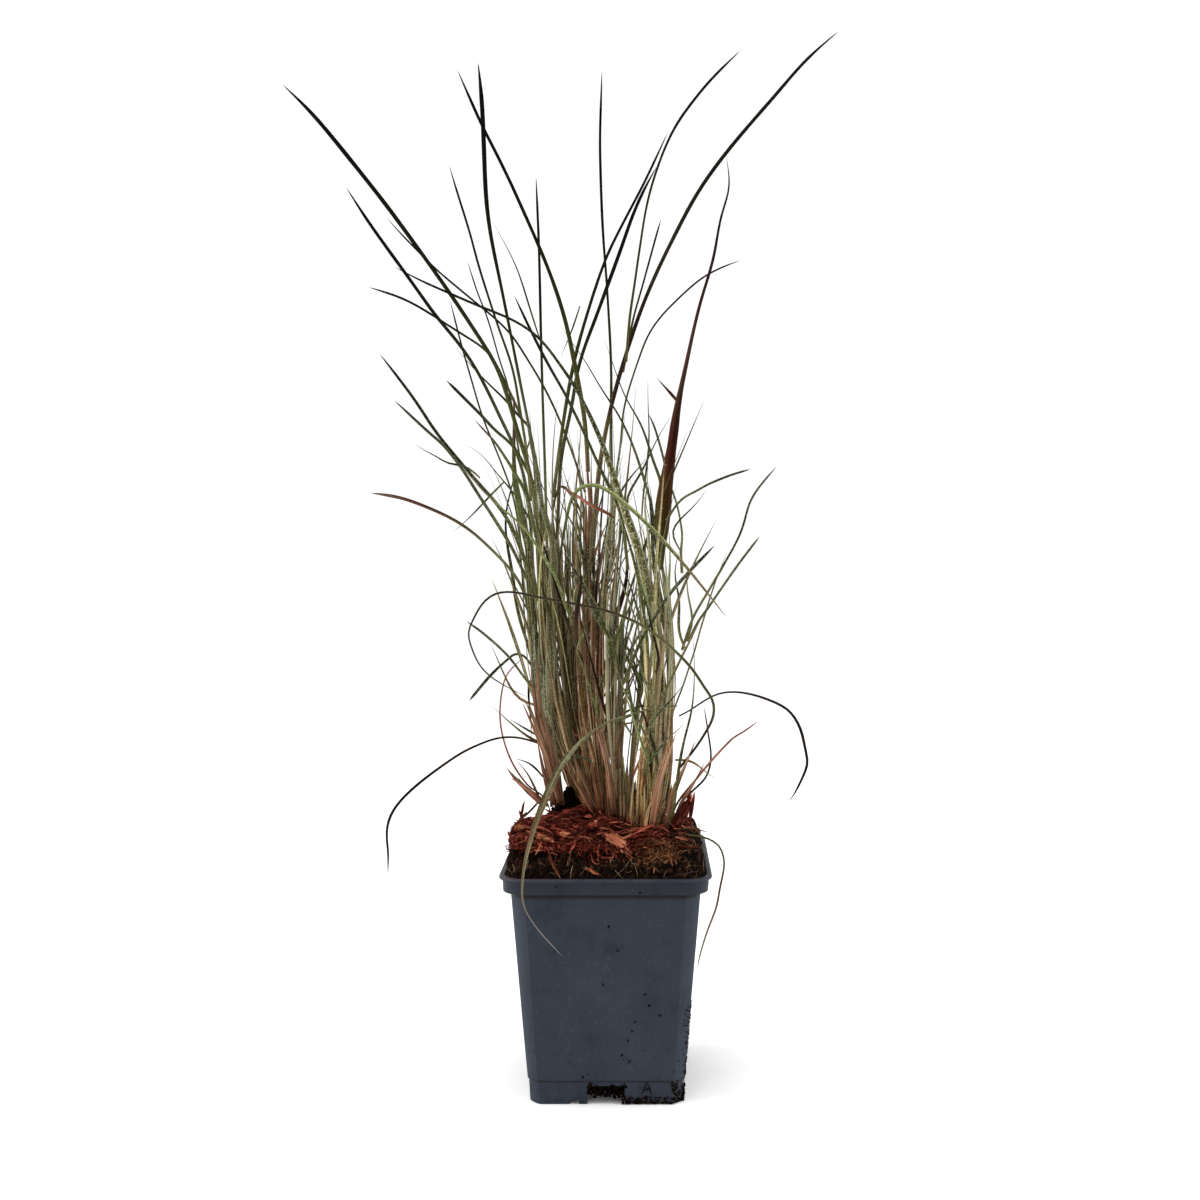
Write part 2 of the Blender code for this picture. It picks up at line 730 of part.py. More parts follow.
def ease(value, start, end):
    """A smooth step from 0 at the start to 1 at the end."""
    share = min(1.0, max(0.0, (value - start) / (end - start)))
    return share * share * (3.0 - 2.0 * share)


def soil_height(x, y):
    """Height of the root ball's top: steep just inside the rim, level in the middle, low behind.

    The two back corners dip, the left one more than the right one, as mulch has slid off them.
    """
    near_edge = min(1.0, max(abs(x), abs(y)) / SOIL_REACH)
    dome = 1.0 - near_edge**SOIL_EDGE_POWER
    coarse = 2 * math.pi / LUMP_LENGTH
    fine = 2 * math.pi / FINE_LUMP_LENGTH
    lumps = math.sin(coarse * x + 1.3) * math.cos(coarse * y - 0.4) + 0.6 * math.sin(fine * (x - 0.8 * y))
    left = LEFT_DIP * ease(-x, *DIP_ACROSS) * ease(y, *LEFT_DIP_BACK)
    right = RIGHT_DIP * ease(x, *DIP_ACROSS) * ease(y, *RIGHT_DIP_BACK)
    proud = SOIL_PROUD - SOIL_SHOULDER + SOIL_LUMP * lumps - left - right
    return POT_HEIGHT + SOIL_SHOULDER + proud * dome


def build_root_ball(collection):
    """The peat root ball: it fills the pot and stands proud of the rim with a lumpy crown."""
    floor_top = STEP_HEIGHT + STEP_SLOPE + GAP
    band_base = POT_HEIGHT - BAND_HEIGHT
    inner_rim = BAND_WIDTH / 2 - WALL - 1.5 * GAP
    soft = BODY_ROUNDNESS
    rings = []
    sections = [
        (body_half(floor_top) - WALL - GAP * 1.5, body_corner(floor_top), floor_top, soft),
        (body_half(band_base) - WALL - GAP * 2, body_corner(band_base), band_base - WALL, soft),
        (inner_rim, RIM_CORNER - WALL, band_base + SHOULDER_RISE + MM, 1.0),
        (inner_rim, RIM_CORNER - WALL, POT_HEIGHT + LIP_EDGE, 1.0),
    ]
    for half, corner, height, soft in sections:
        rings.append(rounded_square(half, corner, height, soft, SOIL_EDGE_POINTS))
    rim_half, rim_corner = sections[-1][:2]
    for k in range(1, SOIL_RINGS + 1):
        share = 1.0 - (k / (SOIL_RINGS + 1)) ** SOIL_RING_POWER
        ring = rounded_square(rim_half * share, rim_corner * share, 0.0, 1.0, SOIL_EDGE_POINTS)
        for point in ring:
            point.z = soil_height(point.x, point.y)
        rings.append(ring)
    builder = bmesh.new()
    made = join_rings(builder, rings, cap_end=False)
    centre = builder.verts.new((0.0, 0.0, soil_height(0.0, 0.0)))
    top = made[-1]
    for i, vertex in enumerate(top):
        builder.faces.new((vertex, top[(i + 1) % len(top)], centre))
    return add_object("root_ball", builder, new_material("peat"), collection)


def surface_tree(item):
    """A search tree of an object's faces."""
    builder = bmesh.new()
    builder.from_mesh(item.data)
    bmesh.ops.triangulate(builder, faces=builder.faces[:])
    tree = BVHTree.FromBMesh(builder)
    builder.free()
    return tree


def ground_height(tree, x, y):
    """Height of the soil's surface below a point, or the rim's height beside the soil."""
    hit = tree.ray_cast(Vector((x, y, 0.4)), Vector((0, 0, -1)))[0]
    return hit.z if hit else POT_HEIGHT


def rest_on_ground(points, tree):
    """Raise or lower a group of points together until its lowest place just clears the soil."""
    lift = max(ground_height(tree, point.x, point.y) - point.z for point in points)
    for point in points:
        point.z += lift + SOIL_CLEARANCE


def from_photo(pixel, depth):
    """The point that a picture pixel shows at a depth in millimetres behind the pot's middle."""
    across = (pixel[0] - EYE_CENTRE_PIXEL[0]) / EYE_FOCAL_PIXELS
    rise = (EYE_CENTRE_PIXEL[1] - pixel[1]) / EYE_FOCAL_PIXELS
    ray = Vector(
        (
            across,
            rise * math.sin(EYE_PITCH) + math.cos(EYE_PITCH),
            rise * math.cos(EYE_PITCH) - math.sin(EYE_PITCH),
        )
    )
    return EYE + ray * ((depth * MM - EYE.y) / ray.y)


def smooth_values(values, shares):
    """Read evenly spread control values at shares of the length, along a smooth curve."""
    knots = np.array([2 * values[0] - values[1], *values, 2 * values[-1] - values[-2]], dtype=float)
    place = np.clip(np.asarray(shares) * (len(values) - 1), 0, len(values) - 1 - 1e-9)
    whole = place.astype(int)
    part = place - whole
    before, start, end, after = (knots[whole + k] for k in range(4))
    curve = (end - before) * part + (2 * before - 5 * start + 4 * end - after) * part**2
    return start + 0.5 * (curve + (3 * start - before - 3 * end + after) * part**3)


def blade_line(route, depths, count):
    """Points evenly spaced along the smooth curve through a route of pixels, as real places."""
    pixels = np.array(route, dtype=float)
    fine = np.linspace(0, 1, 40 * len(route))
    columns = smooth_values(pixels[:, 0], fine)
    rows = smooth_values(pixels[:, 1], fine)
    steps = np.hypot(np.diff(columns), np.diff(rows))
    travelled = np.concatenate([[0.0], np.cumsum(steps)])
    travelled /= travelled[-1]
    shares = np.linspace(0, 1, count + 1)
    columns = np.interp(shares, travelled, columns)
    rows = np.interp(shares, travelled, rows)
    places = smooth_values(np.array(depths, dtype=float), shares)
    return [from_photo((x, y), z) for x, y, z in zip(columns, rows, places)]


def tangents(points):
    """Unit directions along a line of points."""
    last = len(points) - 1
    return [(points[min(i + 1, last)] - points[max(i - 1, 0)]).normalized() for i in range(last + 1)]


def blade_mesh(blade, tree=None):
    """A leaf blade as a thin keeled wedge: two margins and a keel behind, to a pointed tip."""
    points = blade_line(blade.route, blade.depths, blade.segments)
    widths = smooth_values(np.array(blade.widths, dtype=float), np.linspace(0, 1, len(points))) * MM
    rings = []
    for i, (point, along) in enumerate(zip(points[:-1], tangents(points))):
        sight = (point - EYE).normalized()
        turn = Matrix.Rotation(math.radians(blade.twist) * (1 + i / len(points)), 3, along)
        across = turn @ along.cross(sight).normalized()
        behind = along.cross(across).normalized()
        if behind.dot(sight) < 0:
            behind = -behind
        half = widths[i] / 2
        keel = point + behind * max(widths[i] * KEEL_SHARE, LEAST_KEEL)
        rings.append([point - across * half, point + across * half, keel])
    if blade.grounded:
        rest_on_ground(rings[0], tree)
    builder = bmesh.new()
    made = join_rings(builder, rings, cap_end=False)
    tip = builder.verts.new(points[-1])
    for i in range(3):
        builder.faces.new((made[-1][i], made[-1][(i + 1) % 3], tip))
    return builder


def stem_mesh(stem, tree):
    """A tiller as a flattened tapering tube, cut level just above the soil."""
    points = blade_line(stem.route, stem.depths, STEM_RINGS - 1)
    widths = smooth_values(np.array(stem.widths, dtype=float), np.linspace(0, 1, len(points))) * MM
    directions = tangents(points)
    rings = []
    for i, (point, along) in enumerate(zip(points, directions)):
        across = along.cross(point - EYE).normalized()
        behind = along.cross(across).normalized()
        ring = []
        for k in range(STEM_SIDES):
            angle = 2 * math.pi * k / STEM_SIDES
            half = widths[i] / 2
            side = across * math.cos(angle) + behind * stem.flatness * math.sin(angle)
            ring.append(point + side * half)
        rings.append(ring)
    for point in rings[0]:
        point.z = ground_height(tree, point.x, point.y) + SOIL_CLEARANCE
    builder = bmesh.new()
    join_rings(builder, rings)
    return builder


def build_stems(collection, cutters, tree):
    """Every tiller, joined with the short blades that grow from it."""
    for name, stem in STEMS.items():
        item = add_object(name, stem_mesh(stem, tree), new_material(stem.colour), collection)
        for k, blade in enumerate(stem.blades):
            blade.segments = SHORT_BLADE_SEGMENTS
            piece = add_object(f"{name}_blade_{k}", blade_mesh(blade), new_cutter_material(), cutters)
            as_guide(piece)
            add_boolean(item, piece, "UNION")


def build_blades(collection, cutters, tree):
    """Every long leaf, and the small side leaf on one of them."""
    for name, blade in BLADES.items():
        add_object(name, blade_mesh(blade, tree), new_material(blade.colour), collection)
    SIDE_LEAF.segments = SHORT_BLADE_SEGMENTS
    side = add_object("side_leaf", blade_mesh(SIDE_LEAF), new_cutter_material(), cutters)
    as_guide(side)
    add_boolean(bpy.data.objects["leaf_13"], side, "UNION")


def chip_mesh(size, rng):
    """One splintered bark chip: a convex slab whose corners lie near the sides of its box."""
    builder = bmesh.new()
    for _ in range(CHIP_CORNERS):
        point = [rng.uniform(-0.5, 0.5) for _ in range(3)]
        reach = 0.5 * rng.uniform(CHIP_EVENNESS, 1.0) / max(abs(value) for value in point)
        builder.verts.new([value * reach for value in point])
    bmesh.ops.convex_hull(builder, input=builder.verts[:])
    loose = [vertex for vertex in builder.verts if not vertex.link_faces]
    bmesh.ops.delete(builder, geom=loose, context="VERTS")
    bmesh.ops.scale(builder, vec=Vector(size) * MM, verts=builder.verts[:])
    return builder


def build_chips(collection, tree):
    """Bark chips on the root ball, each lifted until its lowest corners just clear the soil."""
    rng = random.Random(SEED)
    for name, chip in CHIPS.items():
        builder = chip_mesh(chip.size, rng)
        turn = Matrix.Rotation(math.radians(chip.turn), 4, "Z")
        tilt = Matrix.Rotation(math.radians(chip.tilt), 4, "Y")
        bmesh.ops.transform(builder, matrix=turn @ tilt, verts=builder.verts[:])
        sight = from_photo(chip.pixel, 0.0) - EYE
        place = tree.ray_cast(EYE, sight.normalized())[0]
        bmesh.ops.translate(builder, vec=(place.x, place.y, 0.0), verts=builder.verts[:])
        rest_on_ground([vertex.co for vertex in builder.verts], tree)
        add_object(name, builder, new_material("bark"), collection)


def main():
    """Build the whole plant in its pot."""
    clear_scene()
    parts = new_collection(COLLECTION)
    cutters = new_collection("cutters")
    build_pot(parts, cutters)
    root_ball = build_root_ball(parts)
    tree = surface_tree(root_ball)
    build_stems(parts, cutters, tree)
    build_blades(parts, cutters, tree)
    build_chips(parts, tree)


main()
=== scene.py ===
"""Looks of a little bluestem grass in a square nursery pot.

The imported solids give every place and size. Each class below builds one
sub-assembly of the plant as numpy surfaces round those solids and dresses it.
Lengths are in metres, and the viewer stands on the side of negative Y.
"""

from __future__ import annotations

import logging
import math
from dataclasses import dataclass, field, replace
from enum import Enum
from itertools import permutations

import bpy
import numpy as np
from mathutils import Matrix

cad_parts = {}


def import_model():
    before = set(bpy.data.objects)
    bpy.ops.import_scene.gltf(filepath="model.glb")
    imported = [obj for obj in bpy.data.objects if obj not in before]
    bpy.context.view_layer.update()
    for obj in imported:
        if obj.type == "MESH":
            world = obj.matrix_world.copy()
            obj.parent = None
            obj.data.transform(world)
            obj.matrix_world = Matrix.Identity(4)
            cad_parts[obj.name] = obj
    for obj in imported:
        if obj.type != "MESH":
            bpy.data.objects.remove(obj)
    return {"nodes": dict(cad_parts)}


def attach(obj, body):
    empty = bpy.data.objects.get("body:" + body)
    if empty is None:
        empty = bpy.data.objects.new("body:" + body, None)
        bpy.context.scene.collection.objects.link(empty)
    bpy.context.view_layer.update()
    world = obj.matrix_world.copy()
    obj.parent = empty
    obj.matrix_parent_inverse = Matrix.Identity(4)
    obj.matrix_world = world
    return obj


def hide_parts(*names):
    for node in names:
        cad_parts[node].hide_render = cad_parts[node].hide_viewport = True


MM = 0.001
BODY = "root"
Array = np.ndarray
Pixels = tuple[tuple[float, float], ...]
log = logging.getLogger("bluestem")


def linear(code: str) -> tuple[float, float, float, float]:
    """Turns an sRGB hex colour into linear light.

    Args:
        code: six hex digits after a hash sign.

    Returns:
        Red, green, blue and an alpha of one.
    """
    parts = [int(code[i : i + 2], 16) / 255 for i in (1, 3, 5)]
    red, green, blue = (
        p / 12.92 if p <= 0.04045 else ((p + 0.055) / 1.055) ** 2.4 for p in parts
    )
    return red, green, blue, 1.0


def value_noise(points: Array, cell: float, seed: int) -> Array:
    """Smooth noise: hashed values on a cubic lattice, blended by a smooth step.

    Args:
        points: rows of x, y, z.
        cell: side of a lattice cell, in the unit of the points.
        seed: picks the pattern.

    Returns:
        One number from -1 to 1 for each row.
    """
    scaled = points / cell
    base = np.floor(scaled).astype(np.int64)
    part = scaled - base
    part = part * part * (3 - 2 * part)
    total = np.zeros(len(points))
    for corner in np.ndindex(2, 2, 2):
        near = np.array(corner)
        hashed = ((base + near) * np.array([73856093, 19349663, 83492791])).sum(1)
        hashed = (hashed + seed * 2654435761) * 1274126177
        hashed = (hashed ^ (hashed >> 15)) * 668265263
        value = ((hashed ^ (hashed >> 17)) & 0xFFFF) / 32767.5 - 1
        total += value * np.where(near, part, 1 - part).prod(1)
    return total


def smooth_step(low: float, high: float, values: Array) -> Array:
    """Rises from 0 at low to 1 at high along a cubic with level ends."""
    part = np.clip((values - low) / (high - low), 0, 1)
    return part * part * (3 - 2 * part)


def unit(vectors: Array) -> Array:
    """Scales each row to length one."""
    return vectors / np.maximum(np.linalg.norm(vectors, axis=-1, keepdims=True), 1e-12)


def random_turns(count: int, rng: np.random.Generator) -> Array:
    """Gives even random rotations, from quaternions of unit length.

    Args:
        count: how many.
        rng: source of the numbers.

    Returns:
        An array of count 3 by 3 matrices.
    """
    w, x, y, z = unit(rng.normal(size=(count, 4))).T
    rows = [
        [1 - 2 * (y * y + z * z), 2 * (x * y - z * w), 2 * (x * z + y * w)],
        [2 * (x * y + z * w), 1 - 2 * (x * x + z * z), 2 * (y * z - x * w)],
        [2 * (x * z - y * w), 2 * (y * z + x * w), 1 - 2 * (x * x + y * y)],
    ]
    return np.array(rows).transpose(2, 0, 1)


class SmoothPath:
    """A natural cubic spline through rows of numbers.

    The parameter is the length of the polyline through the first three columns.
    """

    def __init__(self, rows: Array) -> None:
        """Solves the spline's second derivatives.

        Args:
            rows: one row for each knot, x, y, z first, any others after.
        """
        self.rows = np.asarray(rows, float)
        step = np.linalg.norm(np.diff(self.rows[:, :3], axis=0), axis=1)
        self.knots = np.concatenate([[0], np.cumsum(np.maximum(step, 1e-6))])
        self.length = float(self.knots[-1])
        gap = np.diff(self.knots)
        count = len(self.rows)
        system, right = np.eye(count), np.zeros_like(self.rows)
        inner = np.arange(1, count - 1)
        system[inner, inner - 1] = gap[:-1]
        system[inner, inner] = 2 * (gap[:-1] + gap[1:])
        system[inner, inner + 1] = gap[1:]
        right[1:-1] = 6 * np.diff(np.diff(self.rows, axis=0) / gap[:, None], axis=0)
        self.bends = np.linalg.solve(system, right)

    def at(self, share: Array) -> Array:
        """Reads the spline.

        Args:
            share: places from 0 to 1 of the whole length.

        Returns:
            One row for each place.
        """
        place = share * self.knots[-1]
        last = len(self.knots) - 2
        left = np.clip(np.searchsorted(self.knots, place, "right") - 1, 0, last)
        gap = (self.knots[left + 1] - self.knots[left])[:, None]
        a = (self.knots[left + 1] - place)[:, None] / gap
        b = 1 - a
        bend = (a**3 - a) * self.bends[left] + (b**3 - b) * self.bends[left + 1]
        return a * self.rows[left] + b * self.rows[left + 1] + bend * gap**2 / 6


@dataclass
class Surface:
    """A closed surface with what its finish reads at each point.

    Attributes:
        points: rows of x, y, z.
        faces: lists of point numbers.
        grain: rows of distance across, distance along and a seed, in metres.
        share: rows of place along from 0 to 1, closeness to a margin and tone.
        around: points in each ring, where it has rings.
    """

    points: Array
    faces: list[list[int]]
    grain: Array
    share: Array
    around: int = 0


def tube_faces(rings: int, around: int, tip: bool) -> list[list[int]]:
    """Joins rings of points into a closed tube.

    Args:
        rings: number of rings.
        around: points in each ring.
        tip: whether one more point closes the last ring.

    Returns:
        The faces, pointing outwards where the rings turn to the left as seen
        from the end of the tube.
    """
    ring, step = np.meshgrid(np.arange(rings - 1), np.arange(around), indexing="ij")
    low, following = ring * around, (step + 1) % around
    quads = np.stack(
        [low + step, low + following, low + around + following, low + around + step], -1
    )
    faces = quads.reshape(-1, 4).tolist()
    faces.append(list(range(around))[::-1])
    end = (rings - 1) * around
    if tip:
        point = rings * around
        faces += [[end + i, end + (i + 1) % around, point] for i in range(around)]
    else:
        faces.append([end + i for i in range(around)])
    return faces


class Piece:
    """Joins surfaces into one object that rides on the plant's body."""

    def __init__(self, name: str, slot: str, finish: bpy.types.Material) -> None:
        """Starts an empty piece.

        Args:
            name: name of the object.
            slot: the record's material slot.
            finish: its material.
        """
        self.name, self.slot, self.finish = name, slot, finish
        self.surfaces: list[Surface] = []

    def add(self, surface: Surface) -> None:
        """Takes one more surface."""
        self.surfaces.append(surface)

    def build(self, *nodes: str, smooth: bool = True) -> bpy.types.Object:
        """Makes the mesh and its object.

        Args:
            nodes: the solids that the piece stands for.
            smooth: whether its faces are shaded smooth.

        Returns:
            The object, at the origin, riding on the body.
        """
        faces: list[list[int]] = []
        start = 0
        for surface in self.surfaces:
            faces += [[start + i for i in face] for face in surface.faces]
            start += len(surface.points)
        mesh = bpy.data.meshes.new(self.name)
        joined = np.concatenate([s.points for s in self.surfaces])
        mesh.from_pydata(joined.tolist(), [], faces)
        for label in ("grain", "share"):
            values = np.concatenate([getattr(s, label) for s in self.surfaces])
            layer = mesh.attributes.new(label, "FLOAT_VECTOR", "POINT")
            layer.data.foreach_set("vector", values.astype(np.float32).ravel())
        mesh.materials.append(self.finish)
        mesh.polygons.foreach_set("use_smooth", [smooth] * len(faces))
        mesh.update()
        return place(bpy.data.objects.new(self.name, mesh), self.slot, *nodes)


def place(thing: bpy.types.Object, slot: str, *nodes: str) -> bpy.types.Object:
    """Links an object, sets it on the body and hides the solids that it stands for.

    Args:
        thing: the finished object.
        slot: the record's material slot; not used.
        nodes: the solids that it stands for.

    Returns:
        The same object.
    """
    if thing.name not in bpy.context.scene.collection.objects:
        bpy.context.scene.collection.objects.link(thing)
    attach(thing, BODY)
    if nodes:
        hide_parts(*nodes)
    log.info("%s: %d faces", thing.name, len(thing.data.polygons))
    return thing


def scatter(
    points: Array, faces: list[list[int]], centres: Array, sizes: Array, turns: Array
) -> tuple[Array, list[list[int]]]:
    """Repeats a small shape.

    Args:
        points: the shape's points.
        faces: its faces.
        centres: one row for each copy.
        sizes: the three sizes of each copy.
        turns: one rotation matrix for each copy.

    Returns:
        All points and faces, each copy being turn times sized shape plus centre.
    """
    copies = np.einsum("nij,nkj->nki", turns, points[None] * sizes[:, None])
    copies = copies + centres[:, None]
    number = len(points)
    moved = [[k * number + i for i in f] for k in range(len(centres)) for f in faces]
    return copies.reshape(-1, 3), moved


def lump() -> tuple[Array, list[list[int]]]:
    """Gives an icosahedron of radius one, the form of a crumb.

    Returns:
        Its points and faces.
    """
    gold = (1 + math.sqrt(5)) / 2
    signs = np.array([[a, b] for a in (-1, 1) for b in (-1, 1)])
    first = np.stack([np.zeros(4), signs[:, 0], signs[:, 1] * gold], 1)
    points = unit(np.concatenate([first, np.roll(first, 1, 1), np.roll(first, 2, 1)]))
    far = np.linalg.norm(points[:, None] - points[None], axis=2)
    near = (far > 0.1) & (far < 1.2)
    faces = []
    for i in range(12):
        for j in range(i + 1, 12):
            for k in range(j + 1, 12):
                if near[i, j] and near[j, k] and near[i, k]:
                    turn = np.cross(points[j] - points[i], points[k] - points[i])
                    faces.append([i, j, k] if turn @ points[i] > 0 else [i, k, j])
    return points, faces


# Camera and picture


@dataclass(frozen=True)
class PictureView:
    """The photograph's viewing angle, and places given by its pixels.

    A pixel and a depth behind the pot's middle give one place.
    """

    eye: tuple[float, float, float] = (0.0168, -0.5784, 0.2403)
    dip: float = math.radians(2.58)
    lens: float = 39.0
    sensor: float = 36.0
    centre: tuple[float, float] = (645.4, 600.0)
    picture: float = 1200.0

    def ray(self, pixels: Array) -> Array:
        """Gives the direction of sight through pixels.

        Args:
            pixels: rows of column and row in the picture.

        Returns:
            Rows of a direction whose forward share is about one.
        """
        focal = self.lens / self.sensor * self.picture
        side = (pixels[:, 0] - self.centre[0]) / focal
        up = (self.centre[1] - pixels[:, 1]) / focal
        sin, cos = math.sin(self.dip), math.cos(self.dip)
        return np.stack([side, up * sin + cos, up * cos - sin], 1)

    def points(self, pixels: Array, depth: Array) -> Array:
        """Places pixels at depths along Y.

        Args:
            pixels: rows of column and row.
            depth: Y of each place, in metres.

        Returns:
            Rows of x, y, z.
        """
        ray = self.ray(pixels)
        eye = np.array(self.eye)
        return eye + ray * ((depth - eye[1]) / ray[:, 1])[:, None]

    def camera(self) -> None:
        """Makes the camera at the photograph's place and with its framing."""
        data = bpy.data.cameras.new("camera")
        data.lens, data.sensor_width = self.lens, self.sensor
        data.shift_x = (self.picture / 2 - self.centre[0]) / self.picture
        data.clip_start, data.clip_end = 0.01, 50
        camera = bpy.data.objects.new("camera", data)
        camera.location = self.eye
        camera.rotation_euler = (math.pi / 2 - self.dip, 0, 0)
        bpy.context.scene.collection.objects.link(camera)
        bpy.context.scene.camera = camera


# Finishes


class Graph:
    """A material's nodes, added one at a time."""

    def __init__(self, name: str) -> None:
        """Starts a material with its shader.

        Args:
            name: the material's name.
        """
        self.material = bpy.data.materials.new(name)
        self.material.use_nodes = True
        self.tree = self.material.node_tree
        self.shader = self.tree.nodes["Principled BSDF"]

    def node(
        self,
        kind: str,
        inputs: dict[str | int, object],
        stops: list[tuple[float, str]] | None = None,
        **settings: object,
    ) -> bpy.types.Node:
        """Adds a node with its settings and links.

        Args:
            kind: the node's type, without its first word.
            inputs: for each input, a socket to link or a value.
            stops: for a colour ramp, its places and hex colours.
            settings: the node's own settings.

        Returns:
            The node.
        """
        node = self.tree.nodes.new("ShaderNode" + kind)
        for key, value in settings.items():
            setattr(node, key, value)
        for key, value in inputs.items():
            self.link(node, key, value)
        if stops:
            ramp = node.color_ramp.elements
            while len(ramp) < len(stops):
                ramp.new(0.5)
            for element, (position, code) in zip(ramp, stops):
                element.position = position
                element.color = linear(code)
        return node

    def link(self, node: bpy.types.Node, key: str | int, value: object) -> None:
        """Links a socket to an input, or sets the input's own value."""
        if isinstance(value, bpy.types.NodeSocket):
            self.tree.links.new(value, node.inputs[key])
        else:
            node.inputs[key].default_value = value

    def mix(self, share: object, first: object, second: object, way: str) -> object:
        """Mixes two colours.

        Args:
            share: how much of the second, a number or a socket.
            first: the first colour.
            second: the second colour.
            way: the blend, such as MIX or MULTIPLY.

        Returns:
            The socket with the colour.
        """
        node = self.node(
            "Mix", {0: share, 6: first, 7: second}, data_type="RGBA", blend_type=way
        )
        return node.outputs[2]

    def ramp(self, value: object, stops: list[tuple[float, str]]) -> object:
        """Turns a number into a colour between stops, and returns its socket."""
        return self.node("ValToRGB", {0: value}, stops).outputs[0]

    def noise(self, where: object, scale: float, detail: float) -> object:
        """Adds rough noise at a place, and returns its socket."""
        inputs = {"Vector": where, "Scale": scale, "Detail": detail, "Roughness": 0.65}
        return self.node("TexNoise", inputs).outputs[0]

    def span(
        self, value: object, source: tuple[float, float], target: tuple[float, float]
    ) -> object:
        """Maps one range of a number onto another, held at its ends.

        Args:
            value: the socket with the number.
            source: its range.
            target: the new range.

        Returns:
            The socket with the new number.
        """
        inputs = {0: value, 1: source[0], 2: source[1], 3: target[0], 4: target[1]}
        return self.node("MapRange", inputs).outputs[0]

    def math(self, way: str, first: object, second: object) -> object:
        """Adds a sum or product of two numbers, and returns its socket."""
        return self.node("Math", {0: first, 1: second}, operation=way).outputs[0]

    def finish(self, **sockets: object) -> bpy.types.Material:
        """Sets the shader's inputs.

        Args:
            sockets: values or sockets, underscores standing for spaces.

        Returns:
            The material.
        """
        for key, value in sockets.items():
            self.link(self.shader, key.replace("_", " "), value)
        return self.material


